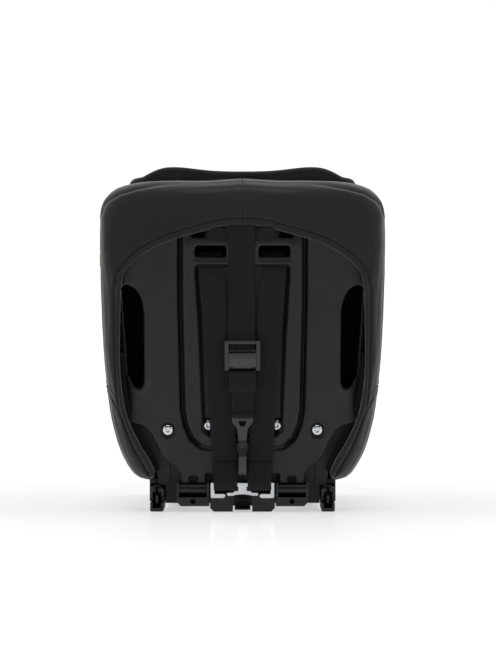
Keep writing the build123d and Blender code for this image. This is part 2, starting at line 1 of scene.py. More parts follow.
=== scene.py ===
import bmesh
import bpy
import json
import math
import numpy as np
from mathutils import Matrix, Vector


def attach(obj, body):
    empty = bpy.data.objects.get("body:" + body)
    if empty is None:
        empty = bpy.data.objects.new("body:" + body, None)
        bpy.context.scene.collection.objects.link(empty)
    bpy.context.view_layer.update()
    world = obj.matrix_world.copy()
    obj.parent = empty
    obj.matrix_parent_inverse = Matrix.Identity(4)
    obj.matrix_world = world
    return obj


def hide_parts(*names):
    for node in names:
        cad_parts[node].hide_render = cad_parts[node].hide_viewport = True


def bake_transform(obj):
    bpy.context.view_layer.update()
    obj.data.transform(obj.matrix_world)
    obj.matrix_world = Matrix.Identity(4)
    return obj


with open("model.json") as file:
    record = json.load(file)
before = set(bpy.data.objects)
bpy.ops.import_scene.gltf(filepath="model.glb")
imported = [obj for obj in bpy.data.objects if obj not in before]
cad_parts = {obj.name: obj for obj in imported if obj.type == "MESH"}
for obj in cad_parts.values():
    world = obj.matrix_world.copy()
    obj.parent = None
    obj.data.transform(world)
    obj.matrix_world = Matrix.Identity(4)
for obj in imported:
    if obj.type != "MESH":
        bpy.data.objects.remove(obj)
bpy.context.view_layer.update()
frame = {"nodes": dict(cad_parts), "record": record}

# ---------------------------------------------------------------- shared frame
# Sizes here are in millimetres with y = 0 on the recline hinge. upright() points lean back
# with the backrest, flat() points stay with the base.
HINGE_Y, HINGE_Z = 160.0, 36.5
LEAN = math.radians(8.0)
CL, SL = math.cos(LEAN), math.sin(LEAN)
SIDES = ((1, "left"), (-1, "right"))


def upright(points):
    p = np.asarray(points, float).reshape(-1, 3)
    out = np.empty_like(p)
    out[:, 0] = p[:, 0]
    out[:, 1] = p[:, 1] * CL + (p[:, 2] - HINGE_Z) * SL + HINGE_Y
    out[:, 2] = (p[:, 2] - HINGE_Z) * CL - p[:, 1] * SL + HINGE_Z
    return out * 0.001


def flat(points):
    p = np.array(points, float).reshape(-1, 3)
    p[:, 1] += HINGE_Y
    return p * 0.001


# ---------------------------------------------------------------- mesh helpers
def new_mesh(name, verts, faces, mat=None, smooth=True, uv=None):
    me = bpy.data.meshes.new(name)
    me.from_pydata([tuple(v) for v in verts], [], [tuple(int(i) for i in f) for f in faces])
    me.validate()
    me.update()
    if uv is not None:
        layer = me.uv_layers.new(name="UVMap")
        idx = np.empty(len(me.loops), np.int32)
        me.loops.foreach_get("vertex_index", idx)
        layer.data.foreach_set("uv", np.asarray(uv, np.float32)[idx].ravel())
    if smooth:
        me.polygons.foreach_set("use_smooth", [True] * len(me.polygons))
    ob = bpy.data.objects.new(name, me)
    bpy.context.scene.collection.objects.link(ob)
    if mat:
        me.materials.append(mat)
    return ob


def edit_mesh(ob, change):
    bm = bmesh.new()
    bm.from_mesh(ob.data)
    change(bm)
    bm.to_mesh(ob.data)
    bm.free()


def fix_normals(ob):
    edit_mesh(ob, lambda bm: bmesh.ops.recalc_face_normals(bm, faces=bm.faces))


def drop_loose(ob):
    edit_mesh(ob, lambda bm: bmesh.ops.delete(bm, geom=[v for v in bm.verts if not v.link_faces],
                                              context="VERTS"))


def get_points(ob, what="co"):
    values = np.empty(3 * len(ob.data.vertices))
    ob.data.vertices.foreach_get(what, values)
    return values.reshape(-1, 3)


def set_points(ob, co):
    ob.data.vertices.foreach_set("co", co.ravel())
    ob.data.update()


def grid_faces(nu, nv, close_v=False):
    """Quads for a grid of nu by nv points, point (i, j) at index i * nv + j."""
    a, b = np.meshgrid(np.arange(nu - 1), np.arange(nv if close_v else nv - 1), indexing="ij")
    a2, b2 = a + 1, (b + 1) % nv
    return np.stack([a * nv + b, a2 * nv + b, a2 * nv + b2, a * nv + b2], -1).reshape(-1, 4)


def catmull(points, n):
    """n points along a smooth curve through the control points, evenly by control index."""
    p = np.asarray(points, float)
    m = len(p)
    t = np.linspace(0, m - 1, n)
    k = np.minimum(t.astype(int), m - 2)
    f = (t - k)[:, None]
    p0, p1 = p[np.maximum(k - 1, 0)], p[k]
    p2, p3 = p[k + 1], p[np.minimum(k + 2, m - 1)]
    return 0.5 * (2 * p1 + (p2 - p0) * f + (2 * p0 - 5 * p1 + 4 * p2 - p3) * f ** 2
                  + (3 * p1 - p0 - 3 * p2 + p3) * f ** 3)


def resample(points, n):
    """n points spaced evenly along a polyline."""
    p = np.asarray(points, float)
    d = run_length(p)
    s = np.linspace(0, d[-1], n)
    return np.stack([np.interp(s, d, p[:, i]) for i in range(p.shape[1])], 1)


def unit(v):
    return v / np.linalg.norm(v, axis=-1, keepdims=True)


def tangents(line):
    return unit(np.gradient(line, axis=0))


def run_length(line):
    """Distance along a polyline at each of its points."""
    return np.r_[0, np.cumsum(np.linalg.norm(np.diff(line, axis=0), axis=1))]


def capped_tube(n, k):
    """Faces of a tube of n rings with k points each, closed at both ends."""
    faces = [list(f) for f in grid_faces(n, k, close_v=True)]
    return faces + [list(range(k))[::-1], [(n - 1) * k + i for i in range(k)]]


def squared_ring(sides, power_u, power_v):
    """The two coordinates of a squared-off circle."""
    ang = np.linspace(0, 2 * math.pi, sides, endpoint=False)
    cu, cv = np.cos(ang), np.sin(ang)
    return np.sign(cu) * np.abs(cu) ** power_u, np.sign(cv) * np.abs(cv) ** power_v


def smooth01(a, b, x):
    t = np.clip((x - a) / (b - a), 0, 1)
    return t * t * (3 - 2 * t)


def bump_at(x, centre, width):
    return np.exp(-((x - centre) / width) ** 2)


# ---------------------------------------------------------------- materials
def material(name, build):
    mat = bpy.data.materials.new(name)
    mat.use_nodes = True
    nt = mat.node_tree
    nt.nodes.clear()
    out = nt.nodes.new("ShaderNodeOutputMaterial")
    bsdf = nt.nodes.new("ShaderNodeBsdfPrincipled")
    nt.links.new(bsdf.outputs[0], out.inputs[0])
    build(nt, bsdf)
    return mat


def settings(node, values):
    for name, value in values.items():
        node.inputs[name].default_value = value


def mix_colour(nt, fac, a, b):
    m = nt.nodes.new("ShaderNodeMix")
    m.data_type = "RGBA"
    nt.links.new(fac, m.inputs["Factor"])
    settings(m, {"A": (*a, 1), "B": (*b, 1)})
    return m.outputs["Result"]


def ramp(nt, value, low, high, out_low=0.0, out_high=1.0):
    m = nt.nodes.new("ShaderNodeMapRange")
    nt.links.new(value, m.inputs["Value"])
    settings(m, {"From Min": low, "From Max": high, "To Min": out_low, "To Max": out_high})
    return m.outputs["Result"]


def math_node(nt, op, a, b=None):
    m = nt.nodes.new("ShaderNodeMath")
    m.operation = op
    for socket, value in zip(m.inputs, (a, b)):
        if value is None:
            continue
        if isinstance(value, (int, float)):
            socket.default_value = value
        else:
            nt.links.new(value, socket)
    return m.outputs[0]


def coords(nt, scale=(1, 1, 1), uv=False):
    tc = nt.nodes.new("ShaderNodeTexCoord")
    mp = nt.nodes.new("ShaderNodeMapping")
    mp.inputs["Scale"].default_value = scale
    nt.links.new(tc.outputs["UV" if uv else "Object"], mp.inputs["Vector"])
    return mp.outputs[0]


def noise_tex(nt, vec, scale, detail=3.0, rough=0.55):
    n = nt.nodes.new("ShaderNodeTexNoise")
    settings(n, {"Scale": scale, "Detail": detail, "Roughness": rough})
    nt.links.new(vec, n.inputs["Vector"])
    return n.outputs["Fac"]


def wave_tex(nt, vec, scale, direction="X", distortion=0.0):
    n = nt.nodes.new("ShaderNodeTexWave")
    n.wave_type = "BANDS"
    n.bands_direction = direction
    settings(n, {"Scale": scale, "Distortion": distortion, "Detail": 1.0})
    nt.links.new(vec, n.inputs["Vector"])
    return n.outputs["Fac"]


def add_bump(nt, bsdf, height, distance, strength):
    b = nt.nodes.new("ShaderNodeBump")
    settings(b, {"Strength": strength, "Distance": distance})
    nt.links.new(height, b.inputs["Height"])
    nt.links.new(b.outputs[0], bsdf.inputs["Normal"])


def plastic(name, dark, light, rough, grain=1.0, spec=0.5, coat=0.0):
    """Moulded plastic: fine spark grain, slow colour drift and rubbed patches."""
    def build(nt, bsdf):
        vec = coords(nt)
        cloud = noise_tex(nt, vec, 14, 4)
        fine = noise_tex(nt, vec, 950, 2, 0.6)
        scuff = noise_tex(nt, coords(nt, (60, 60, 9)), 3.0, 5, 0.7)
        col = mix_colour(nt, ramp(nt, cloud, 0.35, 0.7), dark, light)
        nt.links.new(col, bsdf.inputs["Base Color"])
        base = ramp(nt, scuff, 0.3, 0.75, rough - 0.05, rough + 0.09)
        nt.links.new(base, bsdf.inputs["Roughness"])
        add_bump(nt, bsdf, fine, 0.00016 * grain, 0.55)
        settings(bsdf, {"Specular IOR Level": spec, "Coat Weight": coat})
    return material(name, build)


def metal(name, dark, light, rough, streak=(1, 1, 1)):
    """Plated or drawn metal with fine streaks and faint spots."""
    def build(nt, bsdf):
        vec = coords(nt, streak)
        line = noise_tex(nt, vec, 260, 3, 0.6)
        spot = noise_tex(nt, coords(nt), 90, 4, 0.6)
        nt.links.new(mix_colour(nt, ramp(nt, spot, 0.3, 0.7), dark, light), bsdf.inputs["Base Color"])
        nt.links.new(ramp(nt, line, 0.25, 0.75, rough - 0.06, rough + 0.1), bsdf.inputs["Roughness"])
        add_bump(nt, bsdf, line, 0.00004, 0.4)
        bsdf.inputs["Metallic"].default_value = 1.0
    return material(name, build)


def knit(name, dark, light, pitch=1.15, depth=0.00022, rough=0.86, sheen=0.35):
    """Dense fabric: a fine diagonal knit, heathered yarn and soft pile."""
    def build(nt, bsdf):
        k = 1000.0 / pitch / 20 * 2
        vec = coords(nt)
        heather = noise_tex(nt, vec, 420, 4, 0.7)
        cloud = noise_tex(nt, vec, 7, 3)
        both_fac = math_node(nt, "ADD", math_node(nt, "MULTIPLY", heather, 0.7),
                             math_node(nt, "MULTIPLY", cloud, 0.45))
        nt.links.new(mix_colour(nt, ramp(nt, both_fac, 0.38, 0.78), dark, light), bsdf.inputs["Base Color"])
        a = wave_tex(nt, coords(nt), k, "DIAGONAL", 0.35)
        b = wave_tex(nt, coords(nt, (-1, 1, 1)), k, "DIAGONAL", 0.35)
        weave = math_node(nt, "MULTIPLY", a, b)
        height = math_node(nt, "ADD", weave, math_node(nt, "MULTIPLY", heather, 0.6))
        add_bump(nt, bsdf, height, depth, 0.8)
        nt.links.new(ramp(nt, heather, 0.2, 0.8, rough - 0.06, rough + 0.08), bsdf.inputs["Roughness"])
        settings(bsdf, {"Specular IOR Level": 0.25, "Sheen Weight": sheen, "Sheen Roughness": 0.45})
    return material(name, build)


def webbing(name, dark, light, ribs=11, width=0.04):
    """Woven webbing. UVs are in metres: u across the strap, v along it."""
    def build(nt, bsdf):
        uv = coords(nt, uv=True)
        sep = nt.nodes.new("ShaderNodeSeparateXYZ")
        nt.links.new(uv, sep.inputs[0])
        u, v = sep.outputs[0], sep.outputs[1]
        rib = math_node(nt, "SINE", math_node(nt, "MULTIPLY", u, 2 * math.pi * ribs / width))
        pick_u = math_node(nt, "SINE", math_node(nt, "MULTIPLY", u, 2 * math.pi * 1100))
        pick_v = math_node(nt, "SINE", math_node(nt, "MULTIPLY", v, 2 * math.pi * 900))
        pick = math_node(nt, "MULTIPLY", pick_u, pick_v)
        fuzz = noise_tex(nt, coords(nt), 700, 3, 0.7)
        height = math_node(nt, "ADD", math_node(nt, "MULTIPLY", rib, 0.75),
                           math_node(nt, "MULTIPLY", pick, 0.35))
        height = math_node(nt, "ADD", height, math_node(nt, "MULTIPLY", fuzz, 0.5))
        shade = math_node(nt, "ADD", math_node(nt, "MULTIPLY", rib, 0.3), fuzz)
        nt.links.new(mix_colour(nt, ramp(nt, shade, 0.2, 0.95), dark, light), bsdf.inputs["Base Color"])
        add_bump(nt, bsdf, height, 0.00022, 0.75)
        nt.links.new(ramp(nt, fuzz, 0.2, 0.8, 0.65, 0.8), bsdf.inputs["Roughness"])
        settings(bsdf, {"Specular IOR Level": 0.22, "Sheen Weight": 0.03, "Sheen Roughness": 0.4})
    return material(name, build)


# near-black bead colour: painted shade for the dark inside of the openings
def foam_beads(name):
    def build(nt, bsdf):
        v = nt.nodes.new("ShaderNodeTexVoronoi")
        v.inputs["Scale"].default_value = 260
        nt.links.new(coords(nt), v.inputs["Vector"])
        nt.links.new(mix_colour(nt, ramp(nt, v.outputs["Distance"], 0.1, 0.7), (0.0016, 0.0016, 0.0017),
                                (0.0008, 0.0008, 0.0008)),
                     bsdf.inputs["Base Color"])
        add_bump(nt, bsdf, v.outputs["Distance"], 0.0006, 0.6)
        settings(bsdf, {"Roughness": 0.95, "Specular IOR Level": 0.05})
    return material(name, build)


M = {
    "shell": plastic("moulded_shell", (0.0062, 0.0062, 0.0074), (0.0090, 0.0090, 0.0105), 0.46, 1.0, 0.34),
    "base": plastic("moulded_base", (0.0100, 0.0100, 0.0112), (0.0135, 0.0135, 0.015), 0.47, 1.2, 0.45),
    "hardware": plastic("satin_hardware", (0.0075, 0.0075, 0.008), (0.010, 0.010, 0.011), 0.27, 0.5, 0.5, 0.15),
    "grey": plastic("button_grey", (0.05, 0.05, 0.054), (0.066, 0.066, 0.07), 0.4, 0.8),
    "red": plastic("button_red", (0.36, 0.012, 0.012), (0.44, 0.02, 0.018), 0.33, 0.6),
    "rubber": plastic("grip_rubber", (0.012, 0.012, 0.012), (0.018, 0.018, 0.018), 0.8, 2.5, 0.2),
    "hookmetal": plastic("coated_hook", (0.010, 0.010, 0.0105), (0.015, 0.015, 0.016), 0.33, 0.7, 0.6),
    "cover": knit("cover_knit", (0.0095, 0.0095, 0.0098), (0.0170, 0.0170, 0.0175)),
    "lining": knit("lining_knit", (0.026, 0.026, 0.028), (0.046, 0.046, 0.049), 1.9, 0.0004, 0.9, 0.3),
    "pads": knit("pad_knit", (0.014, 0.014, 0.015), (0.026, 0.026, 0.028), 1.6, 0.0003, 0.9, 0.25),
    # near-black twill strip: its colour is painted shadow behind the hem
    "shade_strip": knit("hem_shade_strip_twill", (0.0012, 0.0012, 0.0013), (0.0022, 0.0022, 0.0023), 0.8, 0.0001, 0.9, 0.0),
    "tag": knit("woven_tag", (0.24, 0.20, 0.035), (0.36, 0.31, 0.07), 0.7, 0.00015, 0.8, 0.1),
    "web": webbing("harness_webbing", (0.0038, 0.0038, 0.0045), (0.0085, 0.0085, 0.0098)),
    "tetherweb": webbing("tether_webbing", (0.0038, 0.0038, 0.0044), (0.0085, 0.0085, 0.0096), 9, 0.043),
    "thread": knit("stitch_thread", (0.016, 0.016, 0.0165), (0.03, 0.03, 0.031), 0.5, 0.0001, 0.55, 0.0),
    "chrome": metal("chrome_plate", (0.52, 0.53, 0.55), (0.66, 0.67, 0.69), 0.2),
    "steel": metal("zinc_steel", (0.36, 0.36, 0.37), (0.5, 0.5, 0.51), 0.34),
    "rodmetal": metal("satin_rod", (0.030, 0.030, 0.031), (0.045, 0.045, 0.046), 0.42, (12, 1, 1)),
    "yoke": metal("stamped_yoke", (0.50, 0.515, 0.53), (0.62, 0.635, 0.65), 0.34, (1, 1, 6)),
    "foam": foam_beads("polystyrene_beads_painted_shade"),
}

SLOT_MATERIAL = {
    "shell_plastic": "shell", "base_plastic": "base", "hardware_plastic": "hardware", "button_grey": "grey",
    "button_red": "red", "cover_fabric": "cover", "lining_fabric": "lining", "pad_fabric": "pads",
    "foam": "foam",
    "webbing": "web", "tag": "tag", "chrome_screw": "chrome", "steel": "steel", "yoke_metal": "yoke",
    "hook_metal": "hookmetal", "rod_metal": "rodmetal", "rubber": "rubber",
}
for entry in frame["record"]["subparts"]:
    cad = frame["nodes"][entry["node"]]
    cad.data.materials.clear()
    cad.data.materials.append(M[SLOT_MATERIAL[entry["material_slot"]]])
# the ISOFIX hooks and pins take the dark rod metal in place of their steel: painted shade for their place
# inside the housings
for name in ("isofix_hook_l", "isofix_hook_r", "isofix_pins"):
    frame["nodes"][name].data.materials[0] = M["rodmetal"]


def keep(ob, body, slot, *nodes):
    """A finished piece: what it rides on, the record slot it shows (not used) and the CAD nodes it stands for.
    """
    if body:
        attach(ob, body)
    if nodes:
        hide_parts(*nodes)
    return ob


# ---------------------------------------------------------------- webbing pieces
def strap(name, path, width, thick, place, mat, across=(1, 0, 0), n=90):
    """Flat webbing on a smooth path, with rounded selvedges. The path is in millimetres."""
    line = resample(catmull(path, 400), n)
    tan = tangents(line)
    ac = np.asarray(across, float)
    ac = np.tile(ac, (n, 1)) if ac.ndim == 1 else catmull(ac, n)
    ac = ac - (ac * tan).sum(1)[:, None] * tan
    ac = unit(ac)
    nor = np.cross(ac, tan)
    half, t = width / 2, thick / 2
    section = []
    m = 12
    for i in range(m + 1):
        section.append((-half + width * i / m, t))
    section += [(half + 0.35 * t, 0.45 * t), (half + 0.35 * t, -0.45 * t)]
    for i in range(m + 1):
        section.append((half - width * i / m, -t))
    section += [(-half - 0.35 * t, -0.45 * t), (-half - 0.35 * t, 0.45 * t)]
    sec = np.array(section)
    k = len(sec)
    verts = (line[:, None, :] + ac[:, None, :] * sec[None, :, 0:1]
             + nor[:, None, :] * sec[None, :, 1:2]).reshape(-1, 3)
    dist = run_length(line)
    uv = np.stack([np.tile(sec[:, 0], n), np.repeat(dist, k)], 1) * 0.001
    return new_mesh(name, place(verts), capped_tube(n, k), mat, uv=uv)


def web_piece(name, path, width, thick, place, mat, body, node, **how):
    """A strap that stands for a CAD node."""
    return keep(strap(name, path, width, thick, place, M[mat], **how), body, "webbing", node)


def both_sides(path):
    """The path for the left piece as drawn and for the right piece mirrored."""
    return [(side, tag, [(side * p[0], *p[1:]) for p in path]) for side, tag in SIDES]


REAR_PATH = [(51.5, -6, 426), (51.5, 2, 420), (51.4, 7.0, 412.5), (51.2, 10.6, 405), (50.6, 14.2, 394),
             (49.9, 15.8, 384), (48.5, 15.9, 372), (45, 15.9, 330), (38.4, 15.9, 235), (31.5, 15.9, 130),
             (28.5, 16.2, 86),
             (27.9, 17.0, 64)]
for _, tag, path in both_sides(REAR_PATH):
    s = strap("rear_strap_" + tag, path, 40, 1.7, upright, M["web"], n=150)
    tuple(upright([(0, 16, 70)])[0])
    tuple(upright([(0, 16, 400)])[0])
    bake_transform(s)
    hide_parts("rear_straps")

# ---------------------------------------------------------------- backrest cover
# One row per control station from the top centre to the end of the lower lobe:
# outer edge (x, z), hem seam (x, z), hem inner edge (x, z), depth of the front rim (y).
COVER_ROWS = [
    ((0, 542.5), (0, 483.5), (0, 472), -57), ((58, 539.5), (37, 481), (37, 469), -57),
    ((118, 539.5), (76, 471), (69, 460), -58), ((166, 536.5), (108, 462), (100, 451.5), -62),
    ((199, 528.5), (139, 450), (131, 441), -76), ((219, 515), (166, 435), (158, 426), -102),
    ((229.5, 495), (186, 418), (178, 410), -130), ((232, 462), (198.5, 402), (191, 394.5), -149),
    ((232.3, 420), (205, 384), (196, 372), -161), ((231, 346), (207.5, 340), (198, 340), -167),
    ((227.5, 262), (206.5, 240), (199.5, 245), -158), ((221, 186), (203, 183), (194.5, 187), -106),
    ((214.5, 143), (192, 142), (185, 149), -66), ((202, 98), (175.5, 103), (168, 113), -62),
    ((185, 65), (161, 77), (151, 84), -60), ((172, 52), (153, 62), (144, 67), -58),
    ((160.5, 48.2), (150.5, 53), (145, 57), -56),
]
REAR_PROFILE = ([0, 1.5, 6, 17, 34, 60, 120], [-34, -22, -6, 6.5, 11.5, 12.8, 13.2])
SECTION_STEPS = 104
ROW_STEPS = 600


def rear_y(inset):
    return np.interp(inset, *REAR_PROFILE)


def cover_curves():
    """The four control curves over both halves, evenly spaced along the outer edge."""
    half = np.array([[*a, *b, *c, d] for a, b, c, d in COVER_ROWS], float)
    other = half[:0:-1].copy()
    other[:, [0, 2, 4]] *= -1
    rows = catmull(np.vstack([other, half]), 2400)
    d = run_length(rows[:, :2])
    s = np.linspace(0, d[-1], ROW_STEPS)
    middle = np.interp(0, rows[:, 0], d) if rows[0, 0] < 0 else d[-1] - np.interp(0, rows[::-1, 0], d[::-1])
    s = np.unique(np.r_[s[np.abs(s - middle) > 8], middle + np.linspace(-8, 8, 27)])
    return np.stack([np.interp(s, d, rows[:, i]) for i in range(7)], 1)


def cover_section(row, normal):
    """Control points of one cross-section, from under the hem, over the outside, to the inner corner."""
    edge, seam, lip, front = row[0:2], row[2:4], row[4:6], row[6]
    span_out = seam - edge
    width = np.linalg.norm(span_out)
    inward = span_out / width
    yh = rear_y(width)
    pts = []

    def rear(p, y):
        pts.append((p[0], y, p[1]))

    rear(lip, yh - 7.5)
    rear(lip - inward * 0.2, yh - 3.0)
    rear(lip + (seam - lip) * 0.1, yh + 0.2)
    rear(lip + (seam - lip) * 0.42, yh + 1.7)
    rear(lip + (seam - lip) * 0.78, yh + 0.7)
    rear(seam, yh - 2.9)
    for back, lift in ((1.8, -0.1), (4.2, 0.5)):
        if back < width * 0.3:
            rear(seam - inward * back, rear_y(width - back) + lift)
    for share in (0.3, 0.45, 0.6):
        rear(seam - inward * width * share, rear_y(width * (1 - share)))
    for share, most in ((0.27, 24), (0.18, 15), (0.11, 9), (0.05, 4)):
        inset = min(most, width * share)
        rear(edge + inward * inset, rear_y(inset))
    rear(edge + inward * 0.6, -24)
    mid = front * 0.5 - 6
    rear(edge, min(-32, mid * 0.75 - 6))
    rear(edge, mid * 1.1)
    rear(edge + normal * 0.6, front * 0.82 - 3)
    inner = min(28.0, max(22.0, width * 1.3))
    for inset, y in ((2.5, front + 8), (7, front + 1.5), (14, front - 1.0), (20.5, front + 2.2)):
        rear(edge + normal * inset, y)
    # above the lobes the lining runs in behind the back pad, in the lobes it closes the tube
    lobe = smooth01(178, 150, edge[1])
    deep = -65 + 58 * lobe
    for inset, share in ((inner - 1.5, 0.14), (inner, 0.34), (inner + 0.5, 0.62), (inner + 0.3, 0.9)):
        rear(edge + normal * inset, front + (deep - front) * share)
    rear(edge + normal * (inner + 3 * (1 - lobe)), deep + 1.0)
    rear(edge + normal * (inner + 12 * (1 - lobe) - 3 * lobe), -55.5 + 51.5 * lobe)
    rear(edge + normal * (inner + 17 * (1 - lobe) - 5 * lobe), -51.2 + 49.2 * lobe)
    rear(edge + normal * (inner + 34 * (1 - lobe) - 7 * lobe), -50.6 + 50.0 * lobe)
    return np.array(pts)


def line_distance(px, pz, line):
    """Distance from points to a polyline in x and z."""
    best = np.full(px.shape, 1e9)
    for (x0, z0), (x1, z1) in zip(line[:-1], line[1:]):
        dx, dz = x1 - x0, z1 - z0
        t = np.clip(((px - x0) * dx + (pz - z0) * dz) / (dx * dx + dz * dz), 0, 1)
        best = np.minimum(best, np.hypot(px - x0 - t * dx, pz - z0 - t * dz))
    return best


def ripple(x, z, seed, scale):
    """Slow smooth unevenness from a few fixed waves."""
    rng = np.random.default_rng(seed)
    total = np.zeros(np.shape(x))
    for _ in range(9):
        a, b = rng.normal(size=2) / scale
        total += np.sin(a * x + b * z + rng.uniform(0, 6.28)) / 9
    return total


def make_cover():
    rows = cover_curves()
    tangent = tangents(rows[:, :2])
    normals = np.stack([tangent[:, 1], -tangent[:, 0]], 1)
    middle = np.array([0.0, 300.0])
    flip = ((middle - rows[:, :2]) * normals).sum(1) < 0
    normals[flip] *= -1
    grid = np.array([resample_even(cover_section(r, n), SECTION_STEPS) for r, n in zip(rows, normals)])
    # surface detail: seams are grooves with a soft swell either side
    nu, nv = grid.shape[:2]
    du = np.gradient(grid, axis=0)
    dv = np.gradient(grid, axis=1)
    nrm = np.cross(dv, du)
    nrm /= np.maximum(np.linalg.norm(nrm, axis=2), 1e-9)[:, :, None]
    centre = grid.mean(axis=1, keepdims=True)
    sign = np.sign(((grid - centre) * nrm).sum(2))
    nrm *= np.where(np.median(sign) < 0, -1, 1)
    x, y, z = grid[..., 0], grid[..., 1], grid[..., 2]
    ax = np.abs(x)
    rear = y > -30
    push = np.zeros((nu, nv))
    seam_c = rear * (z > 470) * (z < 545)
    push += seam_c * (-1.9 * bump_at(x, 0, 1.1) + 0.5 * bump_at(np.abs(x), 4.0, 2.2))
    top = [(228, 487), (225, 499), (216, 510), (197, 521), (170, 529), (133, 535), (90, 537.5)]
    d_top = line_distance(ax, z, top)
    fade = smooth01(80, 175, ax)
    push += rear * fade * (-2.2 * bump_at(d_top, 0, 1.8) + 0.9 * bump_at(d_top, 4.5, 3.2))
    low = [(232, 214), (224, 206), (214, 190), (203, 170), (200, 158)]
    d_low = line_distance(ax, z, low)
    push += rear * (-1.5 * bump_at(d_low, 0, 1.3) + 0.8 * bump_at(d_low, 3.6, 2.4))
    push += 0.55 * ripple(x, z + y, 3, 26) + 0.22 * ripple(x + y, z, 5, 9)
    pull = line_distance(ax, z,
                         [(0, 483.5), (37, 481), (76, 471), (108, 462), (139, 450), (166, 435), (186, 418),
                                 (198.5, 402), (205, 384), (207.5, 346), (206.5, 240), (203, 185), (192, 140)])
    puck = np.sin((ax * 0.8 + z) / 3.1) * bump_at(pull, 9, 6) * rear
    push += 0.16 * puck
    grid = grid + nrm * push[:, :, None]
    # rounded ends of the two lobes
    def cap(row, outward):
        mid = row.mean(axis=0)
        rings = []
        for k in (0.3, 0.6, 0.85, 0.97):
            shrink = math.sqrt(1 - k * k)
            rings.append(mid + (row - mid) * shrink + np.array([outward[0], 0, outward[1]]) * k * 5.0)
        return rings
    first, last = grid[0], grid[-1]
    start = cap(first, (0.5, -0.4) if first[0, 0] < 0 else (-0.5, -0.4))[::-1]
    end = cap(last, (-0.5, -0.4) if last[0, 0] > 0 else (0.5, -0.4))
    grid = np.concatenate([np.array(start), grid, np.array(end)])
    nu = len(grid)
    verts = grid.reshape(-1, 3)
    faces = grid_faces(nu, nv)
    ob = new_mesh("cover_main", upright(verts), faces, M["cover"])
    fix_normals(ob)
    return ob


def resample_even(points, n):
    """A smooth curve through the control points, resampled evenly along its length."""
    fine = catmull(points, 8 * n)
    return resample(fine, n)


cover = keep(make_cover(), "backrest", "cover_fabric", "backrest_cover", "wing_lining", "wing_foam")


# a near-black strip behind the hem along the lobes: painted shadow under the hem's inner edge, which closes the
# view past the arms
HEM_SHADE_STRIP = [(199.5, 262), (197.5, 215), (193.5, 187), (184, 149), (167, 113), (150, 84), (143, 66)]
shade_strip_dir = np.gradient(np.array(HEM_SHADE_STRIP, float), axis=0)
for side, tag in SIDES:
    across = [(side * d[1], 0, -d[0]) for d in shade_strip_dir]
    path = [(side * (x - 1.5), -1.0, z + 0.6) for x, z in HEM_SHADE_STRIP]
    shade_strip = strap("hem_shade_strip_" + tag, path, 12, 1.0, upright, M["shade_strip"], across=across, n=120)
    keep(shade_strip, "backrest", "cover_fabric")


# ---------------------------------------------------------------- relief sheets
def poly_sdf(px, pz, points):
    """Signed distance to a closed polygon, negative inside."""
    inside = np.zeros(px.shape, bool)
    closed = [*points, points[0]]
    best = line_distance(px, pz, closed)
    for (x0, z0), (x1, z1) in zip(closed[:-1], closed[1:]):
        if z0 != z1:
            cross = (z0 > pz) != (z1 > pz)
            inside ^= cross & (px < (x1 - x0) * (pz - z0) / (z1 - z0) + x0)
    return np.where(inside, -best, best)


def round_box(px, pz, x0, x1, z0, z1, r):
    qx = np.abs(px - (x0 + x1) / 2) - (x1 - x0) / 2 + r
    qz = np.abs(pz - (z0 + z1) / 2) - (z1 - z0) / 2 + r
    return np.hypot(np.maximum(qx, 0), np.maximum(qz, 0)) + np.minimum(np.maximum(qx, qz), 0) - r


def blur(field, sigma):
    k = int(3 * sigma) + 1
    w = np.exp(-0.5 * (np.arange(-k, k + 1) / sigma) ** 2)
    w /= w.sum()
    for axis in (0, 1):
        pad = [(0, 0), (0, 0)]
        pad[axis] = (k, k)
        f = np.pad(field, pad, mode="edge")
        field = np.apply_along_axis(lambda v: np.convolve(v, w, "valid"), axis, f)
    return field


